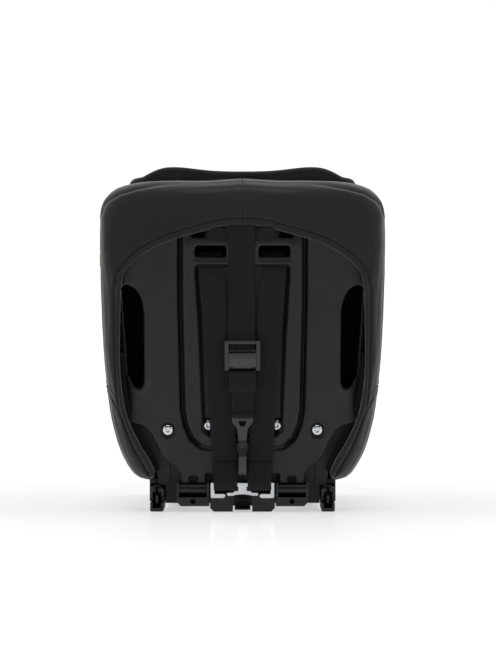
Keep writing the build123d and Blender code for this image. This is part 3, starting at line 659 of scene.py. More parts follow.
def relief_sheet(name, region, height, x_range, z_range, step, roll, reach, mat, side=1, soften=0.9,
                 back=False):
    """A moulded or padded sheet whose outline is region(x, z) < 0 and whose face stands at height(x, z).

    Its edges are rolled over a radius of roll and its rim runs reach(x, z) back from the face.
    side is +1 for a face towards the rear and -1 for one towards the front.
    """
    xs = np.arange(x_range[0], x_range[1] + step, step)
    zs = np.arange(z_range[0], z_range[1] + step, step)
    gx, gz = np.meshgrid(xs, zs, indexing="ij")
    sd = region(gx, gz)
    e = 0.2
    grad_x = (region(gx + e, gz) - region(gx - e, gz)) / (2 * e)
    grad_z = (region(gx, gz + e) - region(gx, gz - e)) / (2 * e)
    near = np.abs(sd) < step * 0.72
    px = np.where(near, gx - grad_x * sd, gx)
    pz = np.where(near, gz - grad_z * sd, gz)
    y = blur(height(gx, gz), soften)
    t = np.clip(1 - np.where(near, 0.0, -sd) / roll, 0, 1)
    y = y - side * roll * (1 - np.sqrt(np.maximum(1 - t * t, 0)))
    ok = sd < step * 0.72
    cell = ok[:-1, :-1] & ok[1:, :-1] & ok[1:, 1:] & ok[:-1, 1:]
    nz = len(zs)
    ii, jj = np.nonzero(cell)
    quads = np.stack([ii * nz + jj, (ii + 1) * nz + jj, (ii + 1) * nz + jj + 1, ii * nz + jj + 1], 1)
    used = np.unique(quads)
    ids = -np.ones(gx.size, int)
    ids[used] = np.arange(len(used))
    verts = np.stack([px.ravel()[used], y.ravel()[used], pz.ravel()[used]], 1)
    quads = ids[quads]
    open_edges = {}
    for quad in quads:
        for a, b in zip(quad, np.roll(quad, -1)):
            key = (min(a, b), max(a, b))
            if key in open_edges:
                del open_edges[key]
            else:
                open_edges[key] = (a, b)
    rim = list(open_edges.values())
    rim_ids = sorted({v for edge in rim for v in edge})
    depth = reach(verts[rim_ids, 0], verts[rim_ids, 2])
    levels = (0.12, 0.5, 1.0)
    rings = {v: len(verts) + 3 * n for n, v in enumerate(rim_ids)}
    extra = []
    for v, d in zip(rim_ids, depth):
        extra += [(verts[v, 0], verts[v, 1] - side * d * k, verts[v, 2]) for k in levels]
    walls = []
    for a, b in rim:
        ca = [a, *(rings[a] + k for k in range(3))]
        cb = [b, *(rings[b] + k for k in range(3))]
        walls += [(cb[k], ca[k], ca[k + 1], cb[k + 1]) for k in range(3)]
    faces = [tuple(q) for q in quads] + walls
    verts = np.vstack([verts, np.array(extra)])
    if back:
        # a flat back closes the form
        first = len(verts)
        rear = verts[:len(used)].copy()
        ring_depth = dict(zip(rim_ids, depth))
        rear[:, 1] = side * np.min(side * verts[:, 1])
        rear[rim_ids, 1] = [verts[v, 1] - side * ring_depth[v] for v in rim_ids]
        inner = {v: first + v for v in range(len(used))}
        for v in rim_ids:
            inner[v] = rings[v] + 2
        faces += [tuple(inner[v] for v in q[::-1]) for q in quads]
        verts = np.vstack([verts, rear])
    ob = new_mesh(name, upright(verts), faces, mat)
    drop_loose(ob)
    fix_normals(ob)
    return ob


# ---------------------------------------------------------------- moulded back panel
PANEL_BASE_Y = 5.8
RIB_RISE, GROOVE_DEPTH, RECESS_DEPTH = 6.2, 15.0, 8.6
PANEL_CONTOUR = [
    (0, 47.5), (100, 47.5), (101, 60), (108, 73), (122, 83), (133, 95), (140, 112), (150, 131), (163, 143),
    (184, 147.5), (206, 146), (206, 250), (206, 400), (196, 424), (178, 440), (150, 456), (110, 472), (60, 484),
    (0, 488), (-1, 488), (-1, 47.5),
]
BELT_CORE = [(168.5, 216), (168.5, 325), (170, 339), (173.5, 351.5), (180, 361), (187.7, 365), (186, 330),
             (181.6, 267),
             (179.5, 228), (170.5, 211)]
FRAME_OUT = [(-1, 500), (98.5, 500), (98.5, 350), (95, 170), (91, 146), (82, 124), (66, 109), (40, 104),
             (-1, 104)]
FRAME_IN = [(-1, 406.5), (74, 406.5), (76, 402), (70, 300), (64.5, 150), (62, 137), (54, 127), (36, 125),
            (-1, 125)]
SCREW_PLACES = ((122, 135.5), (55.5, 143))


def belt_sdf(ax, z):
    return poly_sdf(ax, z, BELT_CORE) - 8.0


def panel_region(x, z):
    ax = np.abs(x)
    holes = [
        belt_sdf(ax, z),
        round_box(ax, z, 26, 77, 419.5, 438.5, 6),
        round_box(ax, z, 28, 83, 452, 471, 6),
        round_box(ax, z, 74, 87, 42, 58, 3),
        round_box(ax, z, 47, 60, 40, 62.5, 3),
    ]
    return np.maximum(poly_sdf(ax, z, PANEL_CONTOUR), -np.minimum.reduce(holes))


def panel_height(x, z):
    """How far the panel's face stands to the rear, before its edges are rolled."""
    ax = np.abs(x)
    y = np.full(ax.shape, PANEL_BASE_Y)
    out = poly_sdf(ax, z, FRAME_OUT)
    inn = poly_sdf(ax, z, FRAME_IN)
    # U-shaped frame: raised rib with a groove outside it and a recess inside it
    y += RIB_RISE * smooth01(1.0, -3.5,
                             out) * (0.35 + 0.65 * smooth01(100, 128, z)) * (0.2 + 0.8 * smooth01(474, 436, z))
    y -= GROOVE_DEPTH * bump_at(out, 2.5, 2.3) * smooth01(98, 122, z)
    y -= RECESS_DEPTH * smooth01(2.5, -3.5, inn)
    y += 0.9 * bump_at(inn, 3.5, 2.4)
    # a shallow crown between the frame and the belt openings, rolled away at the sides
    y += 2.0 * smooth01(100, 124, ax) * smooth01(160, 135, ax) * smooth01(150, 200, z) * smooth01(440, 380, z)
    y -= 26.0 * smooth01(150, 214, ax) ** 1.25 * smooth01(120, 190, z) * (0.25 + 0.75 * smooth01(378, 335, z))
    for sx, sz in SCREW_PLACES:
        r = np.hypot(ax - sx, z - sz)
        y -= 3.6 * smooth01(13.5, 11.2, r)
        y += 0.7 * bump_at(r, 14.6, 1.6)
    # moulded lip round each belt opening and under each harness slot
    y += 1.3 * bump_at(belt_sdf(ax, z), 4.0, 2.8) * smooth01(176, 164, ax)
    y += 3.0 * bump_at(z, 411.5, 2.8) * smooth01(80, 74, ax) * smooth01(26, 32, ax)
    y -= 2.2 * smooth01(30, 0, np.hypot((ax - 80) * 0.7, (z - 50) * 1.2))
    return y


panel = relief_sheet("back_panel", panel_region, panel_height, (-207, 207), (45, 489), 1.5, 3.0,
                     lambda x, z: np.where(belt_sdf(np.abs(x), z) < 2.5, 26.0, 12.0), M["shell"])
keep(panel, "backrest", "shell_plastic", "back_shell")


# ---------------------------------------------------------------- stamped yoke under the two rear straps
def yoke_region(x, z):
    """A bar with two outer hooks, and a stem whose wide anchor foot has a curved slot cut through it."""
    ax = np.abs(x)
    arc = np.abs(np.hypot(x, z + 35.0) - 64.6) - 1.5
    parts = [
        round_box(ax, z, -20, 52, 44, 51, 2.0),
        round_box(ax, z, 45.5, 52, 25.2, 48, 3.0),
        round_box(ax, z, 28.0, 52, 25.2, 33.2, 3.9),
        round_box(ax, z, -10, 7.4, 30, 50, 2.0),
        round_box(ax, z, -30, 25.4, 29.6, 34.6, 2.4) - 0.4,
        round_box(ax, z, -10, 15.0, 31, 38, 3.5),
    ]
    return np.maximum(np.minimum.reduce(parts), -np.maximum(arc, ax - 19.5))


yoke_plate = relief_sheet("yoke_plate", yoke_region, lambda x, z: 20.4 + 0 * x, (-53, 53), (23.5, 52), 0.55,
                          0.9,
                          lambda x, z: 2.4 + 0 * x, M["yoke"], soften=0.6, back=True)
keep(yoke_plate, "yoke", "yoke_metal", "yoke")


# ---------------------------------------------------------------- screws with a domed flange and a hex socket
SCREW_PROFILE = [(0.0, 4.3), (2.5, 4.3), (3.1, 4.6), (3.3, 6.6), (3.9, 7.1), (4.8, 7.2), (6.2, 6.8), (7.6, 6.0),
                 (8.6, 4.9), (9.1, 3.7), (9.2, 2.4)]


def screw_heads(sides=48):
    verts, faces = [], []
    ang = np.linspace(0, 2 * np.pi, sides, endpoint=False)
    hexed = math.cos(math.pi / 6) / np.cos((ang % (math.pi / 3)) - math.pi / 6)
    for sx, sz in SCREW_PLACES:
        for side in (1, -1):
            base = len(verts)
            for n, (r, y) in enumerate(SCREW_PROFILE):
                shape = hexed if 0 < n < 4 else 1.0
                ring = np.stack([side * sx + r * shape * np.cos(ang), y + 0 * ang,
                                 sz + r * shape * np.sin(ang)], 1)
                verts += [tuple(p) for p in (ring if n else ring[:1])]
            faces += [(base, base + 1 + k, base + 1 + (k + 1) % sides) for k in range(sides)]
            for n in range(len(SCREW_PROFILE) - 2):
                a = base + 1 + n * sides
                faces += [(a + k, a + sides + k, a + sides + (k + 1) % sides,
                           a + (k + 1) % sides) for k in range(sides)]
            last = base + 1 + (len(SCREW_PROFILE) - 2) * sides
            faces.append([last + k for k in range(sides)][::-1])
    ob = new_mesh("panel_screws", upright(verts), faces, M["chrome"])
    fix_normals(ob)
    return keep(ob, "backrest", "chrome_screw", "back_screws")


screw_heads()


# ---------------------------------------------------------------- stitching
def stitches(name, runs, place, body, pitch=3.4, length=2.3, r=0.34, mat="thread"):
    """Rows of thread: each run is a list of points in millimetres that the stitches follow."""
    verts, faces = [], []
    for run in runs:
        line = np.asarray(run, float)
        total = np.linalg.norm(np.diff(line, axis=0), axis=1).sum()
        n = max(2, int(total / pitch))
        fine = resample(line, 2 * n + 1)
        for k in range(n):
            mid = fine[2 * k + 1]
            d = fine[2 * k + 2] - fine[2 * k]
            d /= np.linalg.norm(d)
            a = np.cross(d, (0.0, 1.0, 0.0))
            if np.linalg.norm(a) < 0.2:
                a = np.cross(d, (1.0, 0.0, 0.0))
            a /= np.linalg.norm(a)
            b = np.cross(a, d)
            base = len(verts)
            for s, w in ((-0.5, 0.35), (-0.25, 1.0), (0.25, 1.0), (0.5, 0.35)):
                for q in range(6):
                    ang = math.pi * q / 3
                    verts.append(mid + d * s * length + (a * math.cos(ang) + b * math.sin(ang)) * r * w)
            for ring in range(3):
                for q in range(6):
                    c, e = base + ring * 6 + q, base + ring * 6 + (q + 1) % 6
                    faces.append((c, e, e + 6, c + 6))
            faces.append([base + q for q in range(6)][::-1])
            faces.append([base + 18 + q for q in range(6)])
    ob = new_mesh(name, place(verts), faces, M[mat])
    fix_normals(ob)
    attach(ob, body)
    return ob


# ---------------------------------------------------------------- yoke loops and stowed tether
LOOP = [(28.4, 18.6, 85), (28.3, 19.6, 78), (28.0, 21.0, 66), (27.8, 23.2, 57), (27.7, 24.3, 49),
        (27.7, 23, 41.5),
        (27.7, 19, 38.4), (27.7, 15.2, 41.5), (27.7, 14.4, 50), (27.8, 14.8, 62)]
for side, tag, loop in both_sides(LOOP):
    web_piece("yoke_loop_" + tag, loop, 37.6, 1.7, upright, "web", "yoke", "yoke_loops", n=90)
    rows = []
    for x in np.linspace(13.5, 42.5, 9):
        rows.append([(side * x, 20.7, 82.5), (side * x, 21.7, 73), (side * x, 22.6, 66)])
    stitches("yoke_loop_stitch_" + tag, rows, upright, "yoke", 2.6, 1.9, 0.36)

TETHER_X = 1.5
tether = [(TETHER_X, 10.0, 482), (TETHER_X, 13.4, 468), (TETHER_X, 14.4, 456), (TETHER_X, 13.4, 438),
          (TETHER_X, 13.4, 390), (TETHER_X, 15.6, 340), (TETHER_X, 18.6, 302), (TETHER_X - 0.5, 21.6, 288),
          (TETHER_X - 1, 24.2, 276), (TETHER_X - 1, 22.0, 268), (TETHER_X - 1, 20.6, 258)]
web_piece("tether_webbing_main", tether, 43, 1.6, upright, "tetherweb", "backrest", "tether_strap", n=140)


def crinkle(ob, amount, seed):
    """Uneven folds pressed into a webbing piece."""
    co = get_points(ob)
    mm = co * 1000
    co[:, 1] += 0.001 * amount * ripple(mm[:, 0], mm[:, 2], seed, 5.0)
    set_points(ob, co)


cross = [(-61, -5, 464), (-60, 3, 463), (-55, 9.4, 461), (-45, 12.2, 459), (-30, 12.4, 457.5), (-14, 11.4, 457),
         (0, 11.2, 457), (14, 11.4, 457), (30, 12.4, 457.5), (45, 12.2, 459), (55, 9.4, 461), (60, 3, 463),
         (61, -5, 464)]
band_cross = strap("cross_webbing_band", cross, 21, 1.4, upright, M["tetherweb"], across=(0, 0, 1), n=160)
crinkle(band_cross, 2.6, 11)
keep(band_cross, "backrest", "webbing", "cross_webbing")
rows = [[(s * x, 13.4, 449.5), (s * x, 13.4, 466.5)] for s in (-1, 1) for x in (27, 30.5, 44, 47.5)]
stitches("cross_webbing_stitch", rows, upright, "backrest", 2.8, 2.0, 0.3)

fold = [(0, 21.4, 243), (0, 20.0, 236), (0, 19.8, 214), (0, 20.4, 206.5), (0, 21.6, 204.8), (0, 22.8, 207.5),
        (0, 22.8, 220), (0, 22.8, 232), (0, 23.8, 235.4), (0, 25.0, 232.5), (0, 25.2, 220), (0, 25.2, 209),
        (0, 26.3, 205.3), (0, 27.6, 208.5), (0, 28.0, 220), (0, 27.9, 232), (0, 28.8, 236.2), (0, 30.1, 234),
        (0, 31.0, 226), (0, 31.2, 217), (0, 30.6, 208.5), (0, 28.8, 203.6), (0, 26.4, 202.4), (0, 23.6, 203.2)]
web_piece("tether_folded_webbing", fold, 43, 1.7, upright, "tetherweb", "backrest", "tether_bundle", n=260)
short = [(0, 22.2, 209), (0, 22.9, 203), (0, 22.7, 192), (0, 22.5, 178), (0, 23.4, 169), (0, 25.2, 164.8),
         (0, 24.4, 160.5), (0, 21.6, 159.4), (0, 19.4, 163), (0, 19.2, 172), (0, 19.6, 186)]
web_piece("tether_end_webbing", short, 35, 1.5, upright, "tetherweb", "backrest", "tether_short_strap", n=110)
rows = [[(-14 + 4 * i, 23.75, 196), (-14 + 4 * i, 23.6, 176)] for i in range(8)]
stitches("tether_end_stitch", rows, upright, "backrest", 3.0, 2.2, 0.3)

# woven label loop at the side of the cover
tag_loop = [(228, -84, 404), (232.8, -84.6, 404), (235.4, -85.6, 404), (235.9, -87, 404), (234.8, -88, 404),
            (228, -88, 404)]
keep(strap("side_label_loop", tag_loop, 21, 0.8, upright, M["tag"], across=(0, 0, 1), n=40), "backrest",
     "tag", "side_tag")


# ---------------------------------------------------------------- harness in front
FRONT_PATH = [(51.5, -4, 422.3), (51.5, -30, 423), (51.5, -60, 424), (51.3, -66.5, 420), (50.6, -67.2, 394),
              (49, -73.5, 378), (46.5, -79, 335), (43, -82.5, 295), (40, -84.5, 260)]


def to_world_mm(points):
    return upright(points) * 1000


def world_mm(points):
    return np.asarray(points, float) * 0.001


for s, tag, path in both_sides(FRONT_PATH):
    low = [(s * 36, -118, 243), (s * 31, -145, 236), (s * 26.5, -180, 238), (s * 24, -205, 246),
           (s * 23.5, -222, 251)]
    line = np.vstack([to_world_mm(path), np.array(low) + np.array([0, HINGE_Y, 0])])
    ob = strap("front_strap_" + tag, line, 38, 1.6, world_mm, M["web"], n=220)
    tuple(upright([(s * 40, -84, 285)])[0])
    tuple(flat([(s * 24, -205, 246)])[0])
    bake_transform(ob)
    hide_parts("front_straps")


SLEEVE_END = 0.16         # share of its length over which a sleeve closes


def sleeve(name, path, width, thick, place, mat, n=90, sides=40, seam=True):
    """A padded sleeve: a flattened tube that swells in the middle and closes at its ends."""
    line = resample(catmull(path, 400), n)
    tan = tangents(line)
    ac = np.tile((1.0, 0.0, 0.0), (n, 1))
    ac -= (ac * tan).sum(1)[:, None] * tan
    ac = unit(ac)
    nor = np.cross(ac, tan)
    s = np.linspace(0, 1, n)
    close = np.sqrt(np.clip(1 - np.clip(1 - np.minimum(s, 1 - s) / (SLEEVE_END * 0.35), 0, 1) ** 2, 0.0016, 1))
    swell = (0.72 + 0.28 * smooth01(0, SLEEVE_END * 1.6, np.minimum(s, 1 - s))) * close
    cu, cv = squared_ring(sides, 0.55, 0.8)
    wide = width / 2 * (0.94 + 0.06 * close) * close ** 0.35
    pts = (line[:, None] + ac[:, None] * (cu[None, :, None] * wide[:, None, None])
           + nor[:, None] * (cv[None, :, None] * (thick / 2 * swell)[:, None, None]))
    # quilted cross channels and an edge seam
    dist = run_length(line)
    if seam:
        edge = np.abs(np.abs(cu[None, :]) * np.ones((n, 1)) - 0.84)
        dip = 0.9 * np.exp(-(edge / 0.06) ** 2)
        mid = 0.9 * np.exp(-((dist[:, None] - dist[-1] / 2) / 1.8) ** 2)
        pts -= nor[:, None] * (np.sign(cv)[None, :, None] * np.minimum(dip + mid, 1.0)[:, :, None]
                               * (np.abs(cv)[None, :, None] > 0.3))
    verts = pts.reshape(-1, 3)
    ob = new_mesh(name, place(verts), capped_tube(n, sides), mat)
    fix_normals(ob)
    return ob


# ---------------------------------------------------------------- adjuster webbing under the seat
adjuster_rear = [(0, 17.2, 22.4), (0, 13.8, 17.6), (0, 8.6, 12.6), (0, 7.4, 9.4)]
web_piece("adjuster_webbing_rear", adjuster_rear, 25, 1.5, flat, "web", "base", "adjuster_strap_rear", n=40)
adjuster_run = [(0, 7.2, 8.6), (0, 5, 5.8), (0, 0, 4.6), (0, -340, 4.6), (0, -352, 10), (0, -357, 40),
                (0, -364, 76),
                (0, -374, 85), (0, -386.4, 87), (0, -393, 85), (0, -396.2, 80), (0, -396.2, 66),
                (0, -395.8, 60.4)]
web_piece("adjuster_webbing", adjuster_run, 25, 1.5, flat, "web", "base", "adjuster_strap", n=260)


# ---------------------------------------------------------------- padded pieces
def puff(ob, voxel, pressure, cap, frames=16):
    """Inflates a closed form with the cloth solver, holds it near its start and refines it once."""
    bpy.context.view_layer.objects.active = ob
    for other in bpy.context.selected_objects:
        other.select_set(False)
    ob.select_set(True)
    remesh = ob.modifiers.new("even", "REMESH")
    remesh.mode = "VOXEL"
    remesh.voxel_size = voxel
    remesh.use_smooth_shade = True
    bpy.ops.object.modifier_apply(modifier=remesh.name)
    start = get_points(ob)
    cloth = ob.modifiers.new("puff", "CLOTH")
    cloth.settings.quality = 4
    cloth.settings.mass = 0.15
    cloth.settings.tension_stiffness = 12
    cloth.settings.bending_stiffness = 0.6
    cloth.settings.use_pressure = True
    cloth.settings.uniform_pressure_force = pressure
    cloth.settings.effector_weights.gravity = 0
    cloth.point_cache.frame_start = 1
    cloth.point_cache.frame_end = frames
    scene = bpy.context.scene
    for f in range(1, frames + 1):
        scene.frame_set(f)
    bpy.ops.object.modifier_apply(modifier=cloth.name)
    scene.frame_set(1)
    move = get_points(ob) - start
    far = np.linalg.norm(move, axis=1)
    keep_share = np.minimum(1, cap / np.maximum(far, 1e-9))
    set_points(ob, start + move * keep_share[:, None])
    refine = ob.modifiers.new("refine", "SUBSURF")
    refine.levels = 1
    bpy.ops.object.modifier_apply(modifier=refine.name)
    ob.data.polygons.foreach_set("use_smooth", [True] * len(ob.data.polygons))
    ob.data.update()


def push_points(ob, push):
    """Moves every point along its normal by push(x, y, z) millimetres, in the base's flat frame."""
    co, nrm = get_points(ob), get_points(ob, "normal")
    mm = co * 1000 - (0, HINGE_Y, 0)
    set_points(ob, co + nrm * push(mm[:, 0], mm[:, 1], mm[:, 2])[:, None] * 0.001)


def tube_form(name, stations, place, mat, sides=64, n=120, power=0.35):
    """A closed form swept along y, z: each station is (y, z, thickness, half width)."""
    st = catmull(np.asarray(stations, float), n)
    line = st[:, :2]
    tan = tangents(line)
    nor = np.stack([tan[:, 1], -tan[:, 0]], 1)
    cu, cv = squared_ring(sides, power, power * 1.5)
    verts = np.empty((n, sides, 3))
    verts[..., 0] = cu[None] * st[:, 3:4]
    verts[..., 1] = line[:, 0:1] + nor[:, 0:1] * cv[None] * st[:, 2:3] / 2
    verts[..., 2] = line[:, 1:2] + nor[:, 1:2] * cv[None] * st[:, 2:3] / 2
    ob = new_mesh(name, place(verts.reshape(-1, 3)), capped_tube(n, sides), mat)
    fix_normals(ob)
    return ob


def seat_detail(x, y, z):
    ax = np.abs(x)
    top = smooth01(121, 128, z)
    out = np.zeros(x.shape)
    for at in (-150, -212, -285):
        out -= 2.2 * bump_at(y, at, 2.4) * smooth01(100, 88, ax) * top
    out -= 2.4 * bump_at(ax, 95 + 8 * np.sin(y / 90), 2.4) * top
    out -= 1.8 * bump_at(z, 128, 2.0) * (ax > 120)
    out -= 9.0 * smooth01(24, 20, ax) * smooth01(-245, -241, y) * smooth01(-223, -227, y) * top
    front = (y < -386)
    out -= 1.6 * bump_at(ax, 60, 2.2) * front
    out += 0.5 * ripple(x, y, 21, 22)
    return out


SEAT = [(-36, 130.5, 14, 132), (-44, 131, 20, 138), (-70, 131, 23, 128), (-84, 131, 23, 108),
        (-100, 130.5, 23, 120),
        (-118, 129.5, 21, 139), (-200, 127.6, 17.5, 139.5), (-290, 130, 22, 139.5), (-340, 132, 25.5, 139.5),
        (-366, 130.2, 21.5, 139), (-383, 125.2, 12.5, 138.5), (-392, 117, 7.5, 138),
        (-394.4, 110, 7.5, 137), (-394.6, 108.6, 5.5, 135)]
seat = tube_form("seat_cushion_pad", SEAT, flat, M["pads"])
puff(seat, 0.0055, 3.0, 0.004)
push_points(seat, seat_detail)
keep(seat, "base", "pad_fabric", "seat_cushion")

FLAP_DEPTH = 397.0        # how far the front flaps hang ahead of the hinge
for s, tag in SIDES:
    apron = relief_sheet("seat_front_flap_" + tag, lambda x,
                         z: round_box(x, z, *sorted((s * 32, s * 137)), 84.5, 112, 7),
                         lambda x, z: np.full(x.shape, 0.0), sorted((s * 31, s * 138)), (83, 113), 2.0, 3.0,
                         lambda x, z: np.full(x.shape, 5.0), M["pads"], side=-1, back=True)
    # this sheet belongs to the base, so it is set upright in the base's own frame
    d = get_points(apron) - np.array([0, HINGE_Y, HINGE_Z]) * 0.001
    set_points(apron, np.stack([d[:, 0], d[:, 1] * CL - d[:, 2] * SL + (HINGE_Y - FLAP_DEPTH) * 0.001,
                                d[:, 1] * SL + d[:, 2] * CL + HINGE_Z * 0.001], 1))
    keep(apron, "base", "pad_fabric")


# armrest covers: sewn sleeves pulled over the two arms
ARM_TOP = [(-72.6, 150), (-73.5, 160), (-79, 176), (-93, 191), (-111, 202.5), (-132, 210.5), (-170, 214.5),
           (-240, 217.0),
           (-300, 216.6), (-330, 211.5), (-350, 200), (-365, 184), (-375, 168), (-380.4, 157), (-382, 150)]
ARM_STEPS = 120


def arm_cover(tag, s):
    prof = resample(catmull(ARM_TOP, 500), ARM_STEPS)
    foot = np.stack([np.interp(np.linspace(0, 1, ARM_STEPS), [0, 1], [-73.5, -381.5]),
                     np.full(ARM_STEPS, 149.5)], 1)
    cols = [(143.4, 1.0), (143.3, 0.75), (143.3, 0.5), (143.4, 0.3), (143.6, 0.16), (144.3, 0.08),
            (146.2, 0.035), (150, 0.012), (156, 0.0), (164, -0.01), (171, 0.0), (177, 0.012),
            (180.8, 0.035), (183.2, 0.08), (184, 0.16), (183.8, 0.3), (183.2, 0.5), (182.4, 0.75),
            (181.6, 1.0)]
    cols = catmull(np.array(cols), 76)
    grid = np.empty((ARM_STEPS, len(cols), 3))
    for j, (x, t) in enumerate(cols):
        yz = prof + (foot - prof) * t
        grid[:, j] = np.stack([np.full(ARM_STEPS, x), yz[:, 0], yz[:, 1]], 1)
    x, y, z = grid[..., 0], grid[..., 1], grid[..., 2]
    mid = 163.7
    swell = 0.7 * ripple(x * 2, y * 0.6 + z, 31, 16)
    seam = -1.3 * (bump_at(x, 147.2, 1.2) + bump_at(x, 180.2, 1.2)) * (z > 158)
    push = (swell + seam)[..., None]
    away = np.stack([(x - mid) / 20, (y + 230) / 200 * 0.5, np.clip((z - 150) / 40, 0, 1)], -1)
    away /= np.linalg.norm(away, axis=2)[..., None] + 1e-6
    grid = grid + away * push * 0.7
    hem_l = grid[:, 0] + np.array([3.2, 0, 0.6])
    hem_r = grid[:, -1] - np.array([3.2, 0, -0.6])
    grid = np.concatenate([hem_l[:, None], grid, hem_r[:, None]], 1)
    grid[..., 0] *= s
    ob = new_mesh("armrest_sleeve_" + tag, flat(grid), grid_faces(*grid.shape[:2]), M["cover"])
    fix_normals(ob)
    keep(ob, "base", "cover_fabric", "armrest_covers")


for s, tag in SIDES:
    arm_cover(tag, s)


# back pad: quilted, open down the middle for the headrest carrier
PAD_OUTLINE = [(-1, 164), (120, 164), (158, 176), (184, 214), (188, 262), (188, 420), (180, 470),
               (150, 498), (27, 502),
               (27, 242), (20, 236), (-1, 236)]


def pad_region(x, z):
    ax = np.abs(x)
    holes = np.minimum(round_box(ax, z, 25, 78, 415, 436, 6), round_box(ax, z, 27, 84, 451, 472, 6))
    return np.maximum(poly_sdf(ax, z, PAD_OUTLINE), -holes)


def pad_height(x, z):
    ax = np.abs(x)
    y = np.full(ax.shape, -63.0)
    for at in (205, 300, 372):
        y += 2.8 * bump_at(z + 6 * np.cos(ax / 60), at, 2.6)
    y += 2.8 * bump_at(ax, 104 - 6 * np.cos((z - 300) / 90), 2.6)
    y -= 2.2 * smooth01(120, 170, ax)
    return y - 0.7 * ripple(x, z, 41, 24)


PAD_RIM = 2.0
back_pad = relief_sheet("back_pad_quilted", pad_region, pad_height, (-190, 190), (162, 504), 2.2, 9.0,
                        lambda x, z: np.full(x.shape, PAD_RIM), M["lining"], side=-1, soften=1.0, back=True)
keep(back_pad, "backrest", "pad_fabric", "back_pad")


# headrest: one padded shell that curves forward into two cheeks
HEAD_PLAN = [(-175, -127), (-178, -117), (-179, -105), (-178, -92), (-171, -81.5), (-148, -77.4), (-90, -77),
             (0, -76.8), (90, -77), (148, -77.4), (171, -81.5), (178, -92), (179, -105), (178, -117),
             (175, -127)]
HEAD_TOP = ([0, 30, 60, 90, 112, 130, 142, 154, 166, 174, 182],
            [552, 552.3, 554, 558, 560, 559, 556, 549, 541, 536, 530])
HEAD_STEPS = 150


def headrest():
    plan = resample(catmull(HEAD_PLAN, 600), HEAD_STEPS)
    tan = tangents(plan)
    nor = np.stack([tan[:, 1], -tan[:, 0]], 1)          # towards the child
    s = np.linspace(-1, 1, HEAD_STEPS)
    forward = smooth01(-92, -128, plan[:, 1])
    top = np.interp(np.abs(plan[:, 0]), *HEAD_TOP)
    top = np.where(forward > 0, 545 - 46 * forward, top)
    top = np.convolve(np.pad(top, 6, mode="edge"), np.ones(13) / 13, "valid")
    low = 400 + 8 * forward + 4 * (1 - smooth01(0, 110, np.abs(plan[:, 0])))
    thick = 18.6 + 2.4 * smooth01(120, 160, np.abs(plan[:, 0]))
    end = np.sqrt(np.clip(1 - np.clip((np.abs(s) - 0.955) / 0.045, 0, 1) ** 2, 0.01, 1))
    sides = 56
    cu, cv = squared_ring(sides, 0.6, 0.32)
    grid = np.empty((HEAD_STEPS, sides, 3))
    half = (top - low) / 2
    z = (top + low)[:, None] / 2 + cv[None] * (half * end ** 0.3)[:, None]
    off = cu[None] * (thick / 2 * end)[:, None]
    # the two faces of the padding stand off either side of the plan line
    grid[..., 0] = plan[:, 0:1] + nor[:, 0:1] * off
    grid[..., 1] = plan[:, 1:2] + nor[:, 1:2] * off
    grid[..., 2] = z
    x, y = grid[..., 0], grid[..., 1]
    rear = (cu < -0.2)[None]
    band = (top[:, None] - z)
    dip = -1.5 * bump_at(band, 9.5, 1.4) * rear
    front = (cu > 0.2)[None]
    dip += front * (-1.8 * bump_at(band, 24, 2.0) - 1.8 * bump_at(np.abs(x), 118, 2.0))
    dip += 0.6 * ripple(x + y, z, 51, 20)
    grid[..., 0] += nor[:, 0:1] * dip * np.sign(cu)[None]
    grid[..., 1] += nor[:, 1:2] * dip * np.sign(cu)[None]
    slot = smooth01(35, 31, np.abs(x)) * smooth01(509, 512, z) * smooth01(530, 527, z) * rear
    grid[..., 1] -= 11.6 * slot
    ob = new_mesh("headrest_padding", upright(grid), capped_tube(HEAD_STEPS, sides), M["cover"])
    fix_normals(ob)
    return keep(ob, "headrest", "cover_fabric", "headrest_pad", "headrest_shell")


headrest()

# shoulder pads, crotch pad and the straps that lie on the seat
for _, tag, path in both_sides([(48.6, -77.5, 380), (46.4, -83, 340), (43, -88.5, 300), (40.6, -91, 268)]):
    ob = sleeve("shoulder_sleeve_" + tag, path, 58, 9.5, upright, M["pads"])
    keep(ob, "backrest", "pad_fabric", "shoulder_pads")

crotch = sleeve("crotch_sleeve", [(0, -238.2, 144), (0, -239.2, 152), (0, -239.4, 160), (0, -238.4, 169)],
                58, 6.5, flat,
                M["pads"], seam=False)
keep(crotch, "base", "pad_fabric", "crotch_pad")
web_piece("crotch_webbing", [(0, -234, 99), (0, -234, 130), (0, -234, 158), (0, -231.5, 168)], 38, 1.7,
           flat, "web", "base", "crotch_strap")
LAP = [(134.5, -83.5, 128), (134, -84, 144.5), (118, -98, 158), (84, -150, 186), (50, -205, 226),
       (44.6, -218, 240)]
for _, tag, path in both_sides(LAP):
    lean = [(0, -0.9 if k == 0 else -0.5, 0.5 if k < 2 else 0.94) for k in range(len(path))]
    web_piece("lap_webbing_" + tag, path, 29, 1.5, flat, "web", "base", "lap_straps", across=lean)


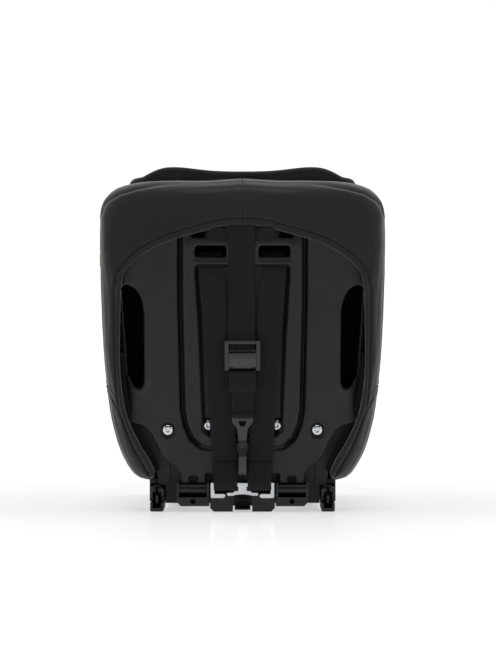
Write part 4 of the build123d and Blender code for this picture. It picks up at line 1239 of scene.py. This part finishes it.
# ---------------------------------------------------------------- camera, floor and light
def stage_floor():
    def build(nt, bsdf):
        settings(bsdf,
                 {"Base Color": (0.86, 0.86, 0.87, 1), "Roughness": 0.16, "Specular IOR Level": 0.25,
                  "Emission Color": (1, 1, 1, 1), "Emission Strength": 0.50})
        far = nt.nodes.new("ShaderNodeEmission")
        settings(far, {"Color": (1, 1, 1, 1), "Strength": 1.05})
        length = nt.nodes.new("ShaderNodeVectorMath")
        length.operation = "LENGTH"
        nt.links.new(coords(nt, (1, 1, 0)), length.inputs[0])
        mix = nt.nodes.new("ShaderNodeMixShader")
        nt.links.new(ramp(nt, length.outputs["Value"], 0.45, 1.0), mix.inputs[0])
        nt.links.new(bsdf.outputs[0], mix.inputs[1])
        nt.links.new(far.outputs[0], mix.inputs[2])
        out = [n for n in nt.nodes if n.type == "OUTPUT_MATERIAL"][0]
        nt.links.new(mix.outputs[0], out.inputs[0])
    mat = material("studio_floor", build)
    r, seg = 14.0, 64
    verts = [(0, 0, -0.0004)] + [(r * math.cos(2 * math.pi * i / seg), r * math.sin(2 * math.pi * i / seg),
                                  -0.0004)
                                 for i in range(seg)]
    faces = [(0, 1 + i, 1 + (i + 1) % seg) for i in range(seg)]
    floor = new_mesh("studio_floor", verts, faces, mat, smooth=False)


def area_light(name, place, target, size, power, size_y=None):
    lamp = bpy.data.lights.new(name, "AREA")
    lamp.shape = "RECTANGLE"
    lamp.size = size
    lamp.size_y = size_y or size
    lamp.energy = power
    ob = bpy.data.objects.new(name, lamp)
    ob.location = place
    ob.rotation_euler = (Vector(target) - Vector(place)).to_track_quat("-Z", "Y").to_euler()
    bpy.context.scene.collection.objects.link(ob)


def studio():
    world = bpy.data.worlds.new("studio")
    bpy.context.scene.world = world
    world.use_nodes = True
    nt = world.node_tree
    nt.nodes.clear()
    out = nt.nodes.new("ShaderNodeOutputWorld")
    seen = nt.nodes.new("ShaderNodeBackground")
    seen.inputs[0].default_value = (1, 1, 1, 1)
    seen.inputs[1].default_value = 1.05
    fill = nt.nodes.new("ShaderNodeBackground")
    fill.inputs[0].default_value = (0.96, 0.98, 1, 1)
    fill.inputs[1].default_value = 0.10
    path = nt.nodes.new("ShaderNodeLightPath")
    mix = nt.nodes.new("ShaderNodeMixShader")
    nt.links.new(path.outputs["Is Camera Ray"], mix.inputs[0])
    nt.links.new(fill.outputs[0], mix.inputs[1])
    nt.links.new(seen.outputs[0], mix.inputs[2])
    nt.links.new(mix.outputs[0], out.inputs[0])
    area_light("top_soft", (0.0, 0.3, 2.6), (0, 0.05, 0.3), 2.2, 42)
    for side, tag in SIDES:
        area_light("key_" + tag, (2.6 * side, 1.5, 1.1), (0, 0.1, 0.3), 1.2, 10, 1.8)
        area_light("rim_" + tag, (2.6 * side, -0.1, 0.9), (0, 0.1, 0.3), 1.0, 26, 1.6)
    area_light("front_fill", (0.0, -2.4, 1.6), (0, 0, 0.3), 1.8, 22)


CAMERA_GAP = 4.0          # metres from the rear plane of the seat
LENS_MM = 132.7
stage_floor()
studio()
cam_data = bpy.data.cameras.new("camera")
cam_data.lens = LENS_MM
cam_data.sensor_width = 36.0
cam = bpy.data.objects.new("camera", cam_data)
cam.location = (-0.009, 0.175 + CAMERA_GAP, 0.294)
cam.rotation_euler = (math.pi / 2, 0, math.pi)
bpy.context.scene.collection.objects.link(cam)
bpy.context.scene.camera = cam
bpy.context.scene.view_settings.view_transform = "Standard"
